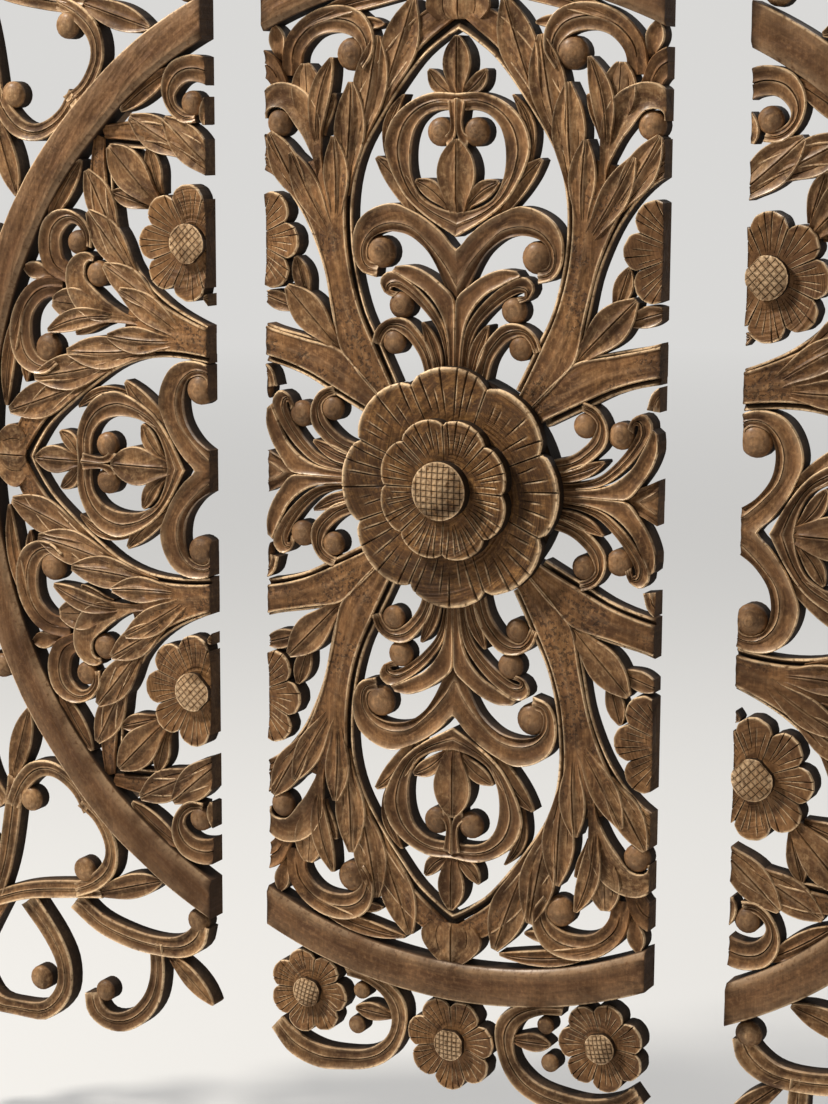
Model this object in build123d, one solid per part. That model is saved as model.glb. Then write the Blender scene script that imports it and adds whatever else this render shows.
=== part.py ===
from build123d import *
import math
import os

# Carved openwork wall triptych: three upright panels sawn from one square lotus mandala.
# Millimetres, +Z up. The carved front faces -Y and the wall is the plane Y = 0.
# X = Z = 0 is the middle of the rosette.

# Panels
panel_width = 400
left_panel_gap = 66
right_panel_gap = 77
left_panel_drop = 6
right_panel_drop = 18
carving_height = 21
ring_height = 25

# Ring and arches
ring_inner_radius = 456
ring_band_width = 36
arch_band_width = 15
smallest_opening = 160
leaf_belly_share = 0.55
petal_notch_share = 0.84

# Applied rosette
rosette_radius = 112
rosette_petal_count = 8
rosette_petal_thickness = 12
inner_petal_radius = 66
inner_petal_thickness = 11
button_radius = 27
button_height = 10
button_chamfer = 4
petal_notch_depth = 12
hub_margin = 8
dowel_diameter = 10
dowel_embedment = 12
dowel_button_depth = 5

# Carved flowers
diagonal_flower_radius = 56
border_flower_radius = 47
side_flower_radius = 43
diagonal_flower_button = 20
border_flower_button = 15
flower_button_height = 5
diagonal_flower_reach = 310
border_flower_reach = 537
side_flower_place = (156, 512)
side_flower_turn = 13
sprig_overlap = 14
flower_stalk_width = 30

# Blocks that hold the panels off the wall
standoff = 18
block_length = 52
block_edge_margin = 2
hub_block_side = 60
centre_block_angle = 13
side_block_angles = (-45, -15, 15, 45)

# Keyhole hanger plates, each held by one screw
hanger_width = 14
hanger_length = 30
hanger_thickness = 1.5
hanger_slot_width = 4.5
hanger_hole_diameter = 8
hanger_slot_length = 9
nail_pocket_depth = 7
nail_pocket_margin = 1
side_hanger_angle = 38
screw_rise = 11
screw_diameter = 3
screw_clearance = 0.2
screw_embedment = 11
screw_head_diameter = 6
screw_head_height = 1.4

ring_outer_radius = ring_inner_radius + ring_band_width
ring_mid_radius = (ring_inner_radius + ring_outer_radius) / 2
hub_radius = rosette_radius - hub_margin

# Sideways and upright places of the panels as they hang
panel_places = {
    "left": (-left_panel_gap, -left_panel_drop),
    "centre": (0, 0),
    "right": (right_panel_gap, -right_panel_drop),
}

# The carving inside the ring is drawn for a ring of 456 and the border for one of 492.
inner_unit = ring_inner_radius / 456
border_unit = ring_outer_radius / 492

board_back = -standoff
rosette_seat = board_back - carving_height
rosette_front = rosette_seat - rosette_petal_thickness
inner_petal_front = rosette_front - inner_petal_thickness
hanger_back = board_back + hanger_thickness


def front_plane(depth):
    """Drawing plane at the given Y whose normal looks out of the wall."""
    return Plane(origin=(0, depth, 0), x_dir=(1, 0, 0), z_dir=(0, -1, 0))


def raised(sketch, depth, height):
    """Solid that stands on the plane at the given Y and rises towards the front."""
    return extrude(front_plane(depth) * sketch, height, dir=(0, -1, 0))


def on_diagonal(shapes):
    """Shapes drawn about the upright axis, turned onto the diagonal axis."""
    return [Rot(0, 0, -45) * shape for shape in shapes]


def knife_cut(*corners):
    """Face with straight chisel cuts between its corners."""
    return make_face(Polyline(*corners, close=True))


def leaf(base, tip, width):
    """Leaf cut from a pointed base over its widest place to its tip."""
    start, end = Vector(*base), Vector(*tip)
    along = (end - start).normalized()
    across = Vector(-along.Y, along.X) * (width / 2)
    belly = start + (end - start) * leaf_belly_share
    return knife_cut(start, belly + across, end, belly - across)


def ball(x, z, radius, cuts=6):
    """Volute eye, a small ball rough-cut to flats."""
    return Pos(x, z) * RegularPolygon(radius, cuts)


def flower(x, z, radius, count, turn):
    """Flower outline: a peak for every petal between shallow notches."""
    step = math.pi / count
    corners = []
    for index in range(2 * count):
        reach = radius if index % 2 else radius * petal_notch_share
        angle = math.radians(turn) + index * step
        corners.append((x + reach * math.cos(angle), z + reach * math.sin(angle)))
    return knife_cut(*corners)


def arch_edge(side, width):
    """Half of the upright arch's inner edge, from tip to hub, moved outwards by a width."""
    return (
        (0, 409 + 1.45 * width), (side * (76 + 0.78 * width), 334 + 0.62 * width),
        (side * (108 + width), 240), (side * (98 + 0.97 * width), 165 - 0.2 * width),
        (side * (60 + 0.9 * width), 75 - 0.43 * width),
    )


def diagonal_arch_edge(side, width):
    """Half of the diagonal arch's inner edge, from tip to fork, moved outwards by a width."""
    return (
        (0, 436 + 1.3 * width), (side * (44 + 0.82 * width), 382 + 0.57 * width),
        (side * (61 + width), 302), (side * (36 + 0.88 * width), 236 - 0.48 * width),
        (0, 172 - 1.9 * width),
    )


def arch_strip(edge, side, near, far):
    """Face between two offsets of half an arch edge."""
    top, upper, middle, lower, end = edge(side, near)
    far_top, far_upper, far_middle, far_lower, far_end = edge(side, far)
    outline = Wire([
        ThreePointArc(top, upper, middle), ThreePointArc(middle, lower, end), Line(end, far_end),
        ThreePointArc(far_end, far_lower, far_middle), ThreePointArc(far_middle, far_upper, far_top),
        Line(far_top, top),
    ])
    return make_face(outline)


def arch_bands():
    """Bands along the upright and the diagonal arch, and the stem between the two."""
    upright = arch_strip(arch_edge, 1, 0, arch_band_width)
    diagonal = arch_strip(diagonal_arch_edge, -1, 0, arch_band_width)
    web = knife_cut((70, 70), (104, 165), (116, 262), (139, 284), (168, 274), (134, 180), (127, 127))
    return [upright, web] + on_diagonal([diagonal])


def arch_leaves():
    """Leaves of half an upright arch and half a diagonal arch, parallel to each arch's axis."""
    upright = [
        leaf((122, 250), (124, 315), 28),
        leaf((102, 290), (108, 364), 32),
        leaf((88, 323), (81, 404), 36),
        leaf((62, 360), (46, 437), 35),
    ]
    diagonal = [
        leaf((-74, 270), (-90, 334), 26),
        leaf((-64, 305), (-83, 362), 32),
        leaf((-57, 345), (-61, 412), 35),
        leaf((-34, 382), (-37, 440), 32),
    ]
    return upright + on_diagonal(diagonal)


def axis_leaves():
    """Broad leaf beyond an upright arch, and the leaves on the axis inside it."""
    return [
        knife_cut((0, 405), (-31, 414), (-31, 434), (-8, 460), (8, 460), (31, 434), (31, 414)),
        knife_cut((0, 340), (-28, 374), (-12, 374), (0, 411), (12, 374), (28, 374)),
        leaf((0, 240), (0, 314), 40),
    ]


def heart_scroll():
    """Half of the heart scroll with its hanging ball and side leaf."""
    scroll = knife_cut(
        (0, 354), (48, 351), (71, 335), (74, 300), (55, 262), (0, 226),
        (0, 250), (42, 272), (48, 306), (36, 331), (5, 338), (5, 312), (0, 312),
    )
    return [scroll, ball(17, 322, 14), leaf((26, 230), (82, 296), 24)]


def volutes():
    """Half of the two V shapes under the heart and the small curl at the hub."""
    upper = knife_cut(
        (0, 214), (34, 244), (66, 255), (98, 242), (107, 196), (94, 196), (86, 226), (62, 231),
        (30, 216), (13, 170), (0, 170),
    )
    lower = knife_cut(
        (0, 175), (22, 192), (44, 199), (52, 190), (68, 197), (75, 187), (64, 174), (44, 175),
        (16, 158), (6, 84), (0, 84),
    )
    curl = knife_cut((12, 84), (26, 130), (50, 151), (74, 148), (88, 130), (78, 122), (62, 138), (28, 80))
    return [upper, ball(79, 217, 15), lower, ball(57, 163, 13), curl, ball(64, 129, 12)]


def sprigs():
    """Leaves on the diagonal that spring from under either side of the carved flower."""
    under = diagonal_flower_radius - sprig_overlap
    inner_base, outer_base = diagonal_flower_reach - under, diagonal_flower_reach + under
    return on_diagonal([leaf((0, inner_base), (0, 168), 40), leaf((0, outer_base), (0, 444), 44)])


def fill_scrolls():
    """Acanthus leaf and two scrolls between the arch leaves and the ring."""
    acanthus = knife_cut(
        (136, 270), (139, 317), (126, 348), (132, 354), (123, 372), (131, 384), (151, 379), (172, 362),
        (205, 358), (198, 334), (178, 347), (168, 328), (144, 270),
    )
    upright_scroll = knife_cut(
        (186, 372), (178, 404), (150, 429), (104, 441), (48, 441), (58, 427), (98, 419),
        (86, 390), (97, 376), (108, 398), (148, 401), (162, 368),
    )
    diagonal_scroll = knife_cut(
        (176, 382), (214, 410), (240, 386), (246, 352), (226, 334), (222, 346), (228, 361), (182, 350),
    )
    return [
        acanthus, ball(187, 327, 13), upright_scroll, ball(109, 389, 15), diagonal_scroll,
        ball(216, 348, 12), leaf((234, 380), (296, 342), 20),
    ]


def border_scrolls():
    """Foliage outside the ring from the middle of one edge to the corner."""
    bottom_scroll = knife_cut(
        (116, 474), (62, 489), (46, 520), (60, 562), (112, 579), (106, 560), (76, 548),
        (64, 520), (78, 500), (100, 510), (112, 492),
    )
    spray = knife_cut((197, 556), (150, 592), (104, 580), (108, 556), (150, 550))
    scroll = knife_cut(
        (340, 350), (314, 376), (311, 406), (332, 440), (366, 452), (366, 438), (340, 422),
        (328, 396), (340, 372), (360, 352),
    )
    stems = knife_cut(
        (330, 438), (478, 466), (478, 486), (372, 464), (300, 500), (212, 505), (200, 460), (218, 460),
        (230, 487), (300, 478), (344, 456),
    )
    scallop = knife_cut(
        (262, 490), (262, 560), (300, 588), (350, 588), (362, 552), (338, 552), (304, 568),
        (279, 546), (278, 490),
    )
    corner_scallop = knife_cut(
        (420, 462), (376, 516), (378, 566), (408, 595), (484, 595), (500, 560), (472, 578), (414, 576),
        (395, 540), (438, 476),
    )
    return [
        bottom_scroll, spray, scroll, stems, scallop, corner_scallop, ball(358, 424, 15),
        ball(220, 455, 15), leaf((352, 448), (260, 420), 28), leaf((262, 494), (200, 542), 20),
    ]


def corner_leaves():
    """Leaf on the diagonal outside the ring."""
    return on_diagonal([leaf((0, 645), (0, 832), 64)])


def flower_stalk(x, z):
    """Leaf from the ring to the middle of a border flower."""
    share = (492 - ring_band_width / 2) / math.hypot(x, z)
    return leaf((x * share, z * share), (x, z), flower_stalk_width)


def border_flowers():
    """Middle and side flowers of one edge with their stalks."""
    x, z = side_flower_place
    return [
        flower(0, border_flower_reach, border_flower_radius, 7, 90),
        flower(x, z, side_flower_radius, 7, 90 - side_flower_turn),
        flower(-x, z, side_flower_radius, 7, 90 + side_flower_turn),
        flower_stalk(0, border_flower_reach), flower_stalk(x, z), flower_stalk(-x, z),
    ]


def diagonal_flower():
    """Carved flower in a diagonal arch."""
    return on_diagonal([flower(0, diagonal_flower_reach, diagonal_flower_radius, 8, 90)])


def fourfold(shapes, unit):
    """Turn shapes to all four sides at the size of the ring."""
    return [Rot(0, 0, 90 * quarter) * scale(shape, unit) for quarter in range(4) for shape in shapes]


def eightfold(shapes, unit):
    """Mirror shapes of half an arch and turn them to all four sides."""
    mirrored = [mirror(shape, about=Plane.YZ) for shape in shapes]
    return fourfold(shapes + mirrored, unit)


def carving_shapes():
    """Every cut shape of the whole carving, over the full square."""
    half_arch = arch_bands() + arch_leaves() + heart_scroll() + volutes() + fill_scrolls()
    shapes = eightfold(half_arch, inner_unit)
    shapes += fourfold(axis_leaves() + sprigs() + diagonal_flower(), inner_unit)
    shapes += eightfold(border_scrolls(), border_unit)
    return shapes + fourfold(border_flowers() + corner_leaves(), border_unit)


def button_shapes():
    """Raised middles of all carved flowers."""
    inner = on_diagonal([ball(0, diagonal_flower_reach, diagonal_flower_button, 8)])
    x, z = side_flower_place
    border = [ball(*place, border_flower_button) for place in ((0, border_flower_reach), (x, z), (-x, z))]
    return fourfold(inner, inner_unit) + fourfold(border, border_unit)


def in_window(shapes, low, high):
    """Union of the shapes between two saw cuts, cut off at both."""
    near = [s for s in shapes if s.bounding_box().max.X > low and s.bounding_box().min.X < high]
    reach = 2 * ring_outer_radius
    window = Pos((low + high) / 2, 0) * Rectangle(high - low, 2 * reach)
    return (Sketch() + near) & window


def without_pinholes(sketch):
    """Sketch with the openings that are too small to saw left closed."""
    faces = []
    for face in sketch.faces():
        openings = [wire for wire in face.inner_wires() if make_face(wire).area > smallest_opening]
        faces.append(Face(face.outer_wire(), openings))
    return Sketch() + faces


def carved_panel(low, high):
    """Openwork board between two saw cuts with the taller ring and the flowers' buttons."""
    ring = Circle(ring_outer_radius) - Circle(ring_inner_radius)
    relief = without_pinholes(in_window(carving_shapes() + [ring, Circle(hub_radius)], low, high))
    ring_crown = raised(in_window([ring], low, high), rosette_seat, ring_height - carving_height)
    buttons = raised(in_window(button_shapes(), low, high), rosette_seat, flower_button_height)
    return raised(relief, board_back, carving_height) + [ring_crown, buttons]


def petal_disc(radius, count, thickness, depth, turn):
    """Disc whose rim is one bowed arc for each petal."""
    edges = []
    step = 2 * math.pi / count

    def at(reach, share):
        angle = math.radians(turn) + share * step
        return (reach * math.cos(angle), reach * math.sin(angle))

    for index in range(count):
        notch = radius - petal_notch_depth
        edges.append(ThreePointArc(at(notch, index), at(radius, index + 0.5), at(notch, index + 1)))
    return raised(make_face(Wire(edges)), depth, thickness)


def rosette():
    """Two petal discs and a button stacked on the hub, with the dowel through them."""
    step = 360 / rosette_petal_count
    dowel_back = rosette_seat + dowel_embedment
    dowel_front = inner_petal_front - dowel_button_depth
    dowel = raised(Circle(dowel_diameter / 2), dowel_back, dowel_back - dowel_front)
    outer = petal_disc(rosette_radius, rosette_petal_count, rosette_petal_thickness, rosette_seat, step / 2)
    inner = petal_disc(inner_petal_radius, rosette_petal_count, inner_petal_thickness, rosette_front, 0)
    button = raised(Circle(button_radius), inner_petal_front, button_height)
    button = chamfer(button.faces().sort_by(Axis.Y)[0].edges(), button_chamfer)
    return {
        "rosette_outer_petals": outer - dowel,
        "rosette_inner_petals": inner - dowel,
        "rosette_button": button - dowel,
        "rosette_dowel": dowel,
    }, dowel


def ring_place(panel, angle):
    """Place of a panel's own point on the mid-line of the ring."""
    shift, drop = panel_places[panel]
    turn = math.radians(angle)
    return Pos(shift + ring_mid_radius * math.cos(turn), drop + ring_mid_radius * math.sin(turn))


def wall_blocks():
    """Blocks glued behind the ring, and one behind the hub."""
    block = Rectangle(block_length, ring_band_width - 2 * block_edge_margin)
    upper = [90 + centre_block_angle, 90 - centre_block_angle]
    angles = {
        "left": [180 - angle for angle in side_block_angles],
        "centre": upper + [-angle for angle in upper],
        "right": list(side_block_angles),
    }
    blocks = {"centre_hub_block": raised(Rectangle(hub_block_side, hub_block_side), 0, standoff)}
    for panel, turns in angles.items():
        for number, angle in enumerate(turns, start=1):
            place = ring_place(panel, angle) * Rot(0, 0, angle - 90)
            blocks[f"{panel}_wall_block_{number}"] = raised(place * block, 0, standoff)
    return blocks


def hanger_places():
    """Places of the upright hanger plates on the back of the ring, one on each panel."""
    return [
        ring_place("left", 180 - side_hanger_angle), ring_place("centre", 90),
        ring_place("right", side_hanger_angle),
    ]


def hanger_parts():
    """Keyhole plates, their screws, and the holes and pockets that the boards need for them."""
    entry = Pos(0, -hanger_slot_length / 2) * Circle(hanger_hole_diameter / 2)
    slot = SlotOverall(hanger_slot_length + hanger_slot_width, hanger_slot_width, rotation=90)
    spot = Pos(0, screw_rise)
    hole = spot * Circle(screw_diameter / 2 + screw_clearance)
    plate_face = Rectangle(hanger_width, hanger_length) - (entry + slot) - hole
    pocket_face = Rectangle(hanger_hole_diameter + nail_pocket_margin,
                            hanger_slot_length + hanger_hole_diameter + nail_pocket_margin)
    plates, screws, cuts = [], [], []
    for place in hanger_places():
        plates.append(raised(place * plate_face, hanger_back, hanger_thickness))
        shank = raised(place * spot * Circle(screw_diameter / 2), hanger_back, hanger_thickness + screw_embedment)
        head = raised(place * spot * Circle(screw_head_diameter / 2), hanger_back + screw_head_height,
                      screw_head_height)
        screws.append(shank + head)
        cuts.append(raised(place * pocket_face, board_back, nail_pocket_depth))
        cuts.append(raised(place * spot * Circle(screw_diameter / 2), board_back, screw_embedment))
    return plates, screws, cuts


def build():
    """All nodes of the triptych by name."""
    nodes, dowel = rosette()
    plates, screws, cuts = hanger_parts()
    half = panel_width / 2
    reach = 2 * ring_outer_radius
    side = carved_panel(-reach, -half)
    boards = {"left": side, "centre": carved_panel(-half, half), "right": mirror(side, about=Plane.YZ)}
    for panel, board in boards.items():
        shift, drop = panel_places[panel]
        nodes[f"{panel}_carved_panel"] = Pos(shift, 0, drop) * board - cuts - dowel
    nodes.update(wall_blocks())
    nodes["hanger_plates"] = Compound(children=plates)
    nodes["hanger_screws"] = Compound(children=screws)
    return nodes


os.makedirs("parts", exist_ok=True)
for node, shape in build().items():
    export_step(shape, f"parts/{node}.step")
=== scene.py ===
import logging
import math
import random
from collections.abc import Sequence
from dataclasses import dataclass, field
from enum import Enum

import bmesh
import bpy
from mathutils import Matrix, Vector, noise


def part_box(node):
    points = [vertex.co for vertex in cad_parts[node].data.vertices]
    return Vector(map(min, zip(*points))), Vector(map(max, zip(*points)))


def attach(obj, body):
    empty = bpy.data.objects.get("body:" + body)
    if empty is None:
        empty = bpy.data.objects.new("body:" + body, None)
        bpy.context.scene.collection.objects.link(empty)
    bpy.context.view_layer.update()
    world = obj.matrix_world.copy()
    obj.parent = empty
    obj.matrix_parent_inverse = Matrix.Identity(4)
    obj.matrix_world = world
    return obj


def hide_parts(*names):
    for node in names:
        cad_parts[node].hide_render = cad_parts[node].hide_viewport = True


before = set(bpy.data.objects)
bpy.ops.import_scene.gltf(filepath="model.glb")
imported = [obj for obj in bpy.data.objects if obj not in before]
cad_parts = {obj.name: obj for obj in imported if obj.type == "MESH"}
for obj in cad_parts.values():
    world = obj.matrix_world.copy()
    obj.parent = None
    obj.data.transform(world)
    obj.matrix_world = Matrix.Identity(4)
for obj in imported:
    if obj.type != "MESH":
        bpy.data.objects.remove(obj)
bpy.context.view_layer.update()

log = logging.getLogger("triptych")
Point = tuple[float, float]

MM = 0.001
BOARD_BACK = 18.0  # distance of the boards' backs from the wall, in mm
SAW_LINE = 200.0  # sideways place of the two saw cuts on the whole mandala, in mm
SHY = 0.35  # most that a piece ends short of the saw cuts and the back, in mm
ON_BACK = 0.01  # height up to which a vertex belongs to the back, in mm
SLIVER = 4.0  # least reach past a saw cut that makes a part of its own, in mm
SAW_SPARE = 9.0  # how far past a piece's ends its saw planes stay, in mm
SAWN_WAX_AND_SHADE = 0.7  # wax and painted shade on a sawn face
MITRED = 0.01  # sink in mm that keeps an end from being blunted, where it meets its mirror twin
NARROW = 9.0  # width under which a cutting profile is drawn in, in mm
BROAD = 20.0  # width from which a cutting profile is cut deeper, in mm
BALL_TOP = 20.5  # height of the volute eyes, in mm
NICK = 0.55  # half the width of a scored line, and the unit across a petal's cuts, in mm
OPEN_DEPTH = 2.0  # a petal's cut that is deeper than this runs out through the rim, in mm
WELD = 1e-6  # distance under which vertices become one, in metres
ON_PLANE = 1e-7  # distance at which a vertex lies on a saw plane, in metres
CREASE = math.radians(38)  # angle from which an edge is shaded sharp
WAVER_SEED = 3  # seed of the noise behind the hand waver, which otherwise follows the clock
MASKS = ("wear", "wax_and_shade", "pits")
PALE = (0.94, 0.93, 0.91, 1)

noise.seed_set(WAVER_SEED)


class Panel(Enum):
    """The three boards, with how far each hangs sideways and up from the whole mandala, in mm."""

    LEFT = (-66.0, -6.0)
    CENTRE = (0.0, 0.0)
    RIGHT = (77.0, -18.0)

    @property
    def node(self) -> str:
        """Name of the board's solid in the frame."""
        return f"{self.name.lower()}_carved_panel"


class Repeat(Enum):
    """How often a drawn piece comes back round the mandala."""

    ONCE = "once"
    QUARTERS = "quarters"
    EIGHTHS = "eighths"


@dataclass(frozen=True)
class Groove:
    """One line of a cutting profile that runs along a relief piece.

    share is its place between the first rail (0) and the second (1), inset a further step in
    mm, lift its height in mm against the piece's level. A line that fades dies out at the ends,
    reach is the share of the length after which it is gone.
    """

    share: float
    inset: float
    lift: float
    # How bare the line is rubbed, lightened further by a painted highlight.
    wear: float = 0.0
    # How far dark wax and painted shade darken the line.
    wax_and_shade: float = 0.0
    fades: bool = False
    reach: float = 1.0

    def fade(self, share: float) -> float:
        """How much of the line is left at a place along the piece.

        Args:
            share: Place along the piece, from 0 to 1.

        Returns:
            Factor from 0 to 1.
        """
        left = swell(0.05, 0.24, share) * swell(0.02, 0.12, 1 - share) if self.fades else 1.0
        if self.reach < 1:
            left *= 1 - swell(self.reach - 0.15, self.reach, share)
        return left


class Cut(Enum):
    """Cutting profiles of the relief."""

    # Dark values in veins and hollows paint shade on top of the wax; high rim values paint a highlight on top of the
    # rubbing.
    LEAF = (
        Groove(0, 0, -1.6, 0.6), Groove(0, 0.8, -0.1, 0.85), Groove(0, 1.8, -0.7, 0.1),
        Groove(0.16, 0, -1.5, 0, 0.06), Groove(0.3, 0, -2.1, 0, 0.16), Groove(0.42, 0, -1.4, 0, 0.08),
        Groove(0.5, -1.1, -0.7, 0.3), Groove(0.5, -0.45, -1.2, 0.1, 0.3, True),
        Groove(0.5, 0, -4.2, 0.0, 1.0, True), Groove(0.5, 0.45, -1.2, 0.1, 0.3, True),
        Groove(0.5, 1.1, -0.7, 0.3), Groove(0.58, 0, -1.4, 0, 0.1), Groove(0.7, 0, -2.1, 0, 0.2),
        Groove(0.84, 0, -1.5, 0, 0.08),
        Groove(1, -1.8, -0.7, 0.1), Groove(1, -0.8, -0.1, 0.85), Groove(1, 0, -1.6, 0.6),
    )
    FROND = (
        Groove(0, 0, -1.6, 0.6), Groove(0, 0.8, -0.1, 0.85), Groove(0, 1.8, -0.7, 0.1),
        Groove(0.14, 0, -1.5, 0, 0.06), Groove(0.25, -0.5, -2.0, 0.1), Groove(0.25, 0, -3.6, 0, 0.9, True, 0.5),
        Groove(0.25, 0.5, -2.2, 0.1), Groove(0.38, 0, -1.7, 0.05, 0.1),
        Groove(0.5, -1.1, -0.7, 0.35), Groove(0.5, -0.45, -1.2, 0.1, 0.3, True),
        Groove(0.5, 0, -4.4, 0.0, 1.0, True), Groove(0.5, 0.45, -1.2, 0.1, 0.3, True),
        Groove(0.5, 1.1, -0.7, 0.35), Groove(0.62, 0, -1.7, 0, 0.1), Groove(0.76, -0.5, -2.1, 0.05),
        Groove(0.76, 0, -3.4, 0, 0.9, True, 0.62), Groove(0.76, 0.5, -2.0, 0.1), Groove(0.87, 0, -1.4, 0, 0.06),
        Groove(1, -1.8, -0.7, 0.1), Groove(1, -0.8, -0.1, 0.85), Groove(1, 0, -1.6, 0.6),
    )
    SCROLL = (
        Groove(0, 0, -1.5, 1.0), Groove(0, 1.0, 0.0, 1.0), Groove(0, 2.2, -0.8, 0.35),
        Groove(0.2, 0, -2.0, 0, 0.1), Groove(0.36, 0, -2.8, 0.0, 0.25), Groove(0.5, -0.8, -1.9, 0.3, 0.1),
        Groove(0.5, 0, -5.0, 0.0, 1.0, True), Groove(0.5, 0.8, -2.3, 0.6), Groove(0.62, 0, -2.9, 0, 0.2),
        Groove(0.78, 0, -3.8, 0.0, 0.4), Groove(1, -2.0, -3.0, 0.2, 0.15), Groove(1, -0.8, -2.8, 0.6),
        Groove(1, 0, -4.2, 0.4),
    )
    ARM = (
        Groove(0, 0, -1.8, 0.6), Groove(0, 1.0, -0.3, 0.9), Groove(0, 2.4, -0.6, 0.15), Groove(0.12, 0, -0.9),
        Groove(0.22, 0, -1.3, 0, 0.1), Groove(0.32, 0, -0.8), Groove(0.42, 0, -0.4, 0.15), Groove(0.5, 0, -0.5, 0.1),
        Groove(0.6, 0, -1.1, 0, 0.1), Groove(0.7, 0, -0.9), Groove(0.8, 0, -1.2, 0, 0.1), Groove(0.9, 0, -1.3, 0, 0.1),
        Groove(1, -2.4, -0.6, 0.15), Groove(1, -1.0, -0.3, 0.9), Groove(1, 0, -1.8, 0.6),
    )
    BEAD = (
        Groove(0, 0, -1.2, 0.6), Groove(0, 0.8, 0.0, 1.0), Groove(0, 2.1, -0.1, 1.0), Groove(0, 3.0, -1.6, 0.2, 0.5),
        Groove(0.6, 0, -3.2, 0.0, 1.0), Groove(1, -0.7, -2.4, 0.0, 1.0), Groove(1, 0, -3.0, 0.0, 1.0),
    )
    STUB = (
        Groove(0, 0, -1.6, 0.9), Groove(0, 0.9, -0.1, 1.0), Groove(0, 2.2, -0.8, 0.25),
        Groove(0.3, 0, -1.9), Groove(0.5, 0, -2.4, 0.0, 0.1), Groove(0.72, 0, -2.0), Groove(1, -2.2, -0.9, 0.25),
        Groove(1, -0.9, -0.3, 0.9), Groove(1, 0, -1.7, 0.8),
    )
    LOBE = (
        Groove(0, 0, -1.6, 0.6), Groove(0, 0.9, -0.1, 0.85), Groove(0, 2.0, -0.7, 0.1), Groove(0.25, -0.5, -1.8, 0.1),
        Groove(0.25, 0, -3.4, 0, 0.9, True, 0.7), Groove(0.25, 0.5, -1.8, 0.1), Groove(0.5, -0.5, -1.2, 0.2),
        Groove(0.5, 0, -3.6, 0, 0.9, True, 0.85), Groove(0.5, 0.5, -1.2, 0.2), Groove(0.75, -0.5, -1.8, 0.1),
        Groove(0.75, 0, -3.4, 0, 0.9, True, 0.7), Groove(0.75, 0.5, -1.8, 0.1), Groove(1, -2.0, -0.7, 0.1),
        Groove(1, -0.9, -0.1, 0.85), Groove(1, 0, -1.6, 0.6),
    )


@dataclass(frozen=True)
class WoodFinish:
    """Oiled and dark-waxed hardwood of one group of pieces.

    Colours are linear. figure is the size of the cloudy figure, pore the strength of the open
    pits, polish the roughness of the bare rims. The worn colour is bare wood brightened to a painted
    highlight, the wax colour both dark wax and the painted shade in the cuts and on the walls.
    """

    name: str
    heart: tuple[float, float, float] = (0.250, 0.118, 0.043)
    light: tuple[float, float, float] = (0.460, 0.250, 0.110)
    dark: tuple[float, float, float] = (0.085, 0.037, 0.014)
    worn: tuple[float, float, float] = (0.800, 0.570, 0.340)
    wax: tuple[float, float, float] = (0.007, 0.004, 0.002)
    figure: float = 30.0
    pore: float = 0.5
    wear: float = 1.0
    roughness: float = 0.5
    polish: float = 0.36
    flutes: float = 0.6
    grain_along: str = "Z"


@dataclass(frozen=True)
class SteelFinish:
    """Zinc-plated sheet or wire steel."""

    name: str
    colour: tuple[float, float, float] = (0.58, 0.57, 0.54)
    roughness: float = 0.38


def spot(x: float, z: float, height: float) -> Vector:
    """Point of the relief in metres.

    Args:
        x: Sideways from the rosette's middle, in mm.
        z: Upright from the rosette's middle, in mm.
        height: Out from the board's back, in mm.

    Returns:
        The point in the row frame.
    """
    return Vector((x * MM, -(BOARD_BACK + height) * MM, z * MM))


def mask_layers(bm: bmesh.types.BMesh) -> list[bmesh.types.BMLayerItem]:
    """Vertex layers for wear, stain and pits, made if they are missing."""
    layers = bm.verts.layers.float
    return [layers.get(name) or layers.new(name) for name in MASKS]


def flow_layer(bm: bmesh.types.BMesh) -> bmesh.types.BMLayerItem:
    """Vertex layer for the run of the cut: metres along, metres across and a number of its own."""
    layers = bm.verts.layers.float_vector
    return layers.get("flow") or layers.new("flow")


def own_number(x: float, z: float) -> float:
    """Number that sets one piece's chisel marks apart from the next one's."""
    return (x * 0.137 + z * 0.071) % 3.0


def through(points: Sequence[Point], count: int, nip: float = 0.0) -> list[Vector]:
    """Smooth line through drawn points, resampled evenly.

    Args:
        points: Drawn points in mm.
        count: Number of stations.
        nip: Distance in mm of an extra close station at both ends.

    Returns:
        The stations as 2-D vectors in mm.
    """
    pts = [Vector(p) for p in points]
    dense = [pts[0]]
    for i in range(len(pts) - 1):
        before = pts[i - 1] if i else pts[0] * 2 - pts[1]
        after = pts[i + 2] if i + 2 < len(pts) else pts[-1] * 2 - pts[-2]
        p, q = pts[i], pts[i + 1]
        for k in range(1, 9):
            t = k / 8
            dense.append(0.5 * (2 * p + (q - before) * t + (2 * before - 5 * p + 4 * q - after) * t * t
                                + (3 * p - before - 3 * q + after) * t ** 3))
    run = [0.0]
    for i in range(1, len(dense)):
        run.append(run[-1] + (dense[i] - dense[i - 1]).length)
    total = run[-1]
    edge = min(nip / max(total, 1e-6), 0.05)
    shares = [edge + (1 - 2 * edge) * k / (count - 3) for k in range(count - 2)]
    shares = [0.0, *shares, 1.0] if edge else [k / (count - 1) for k in range(count)]
    stations, i = [], 0
    for share in shares:
        want = share * total
        while i < len(run) - 2 and run[i + 1] < want:
            i += 1
        span = run[i + 1] - run[i]
        stations.append(dense[i].lerp(dense[i + 1], (want - run[i]) / span if span else 0.0))
    return stations


def swell(low: float, high: float, value: float) -> float:
    """Smooth step from 0 at low to 1 at high."""
    t = min(1.0, max(0.0, (value - low) / (high - low)))
    return t * t * (3 - 2 * t)


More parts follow.
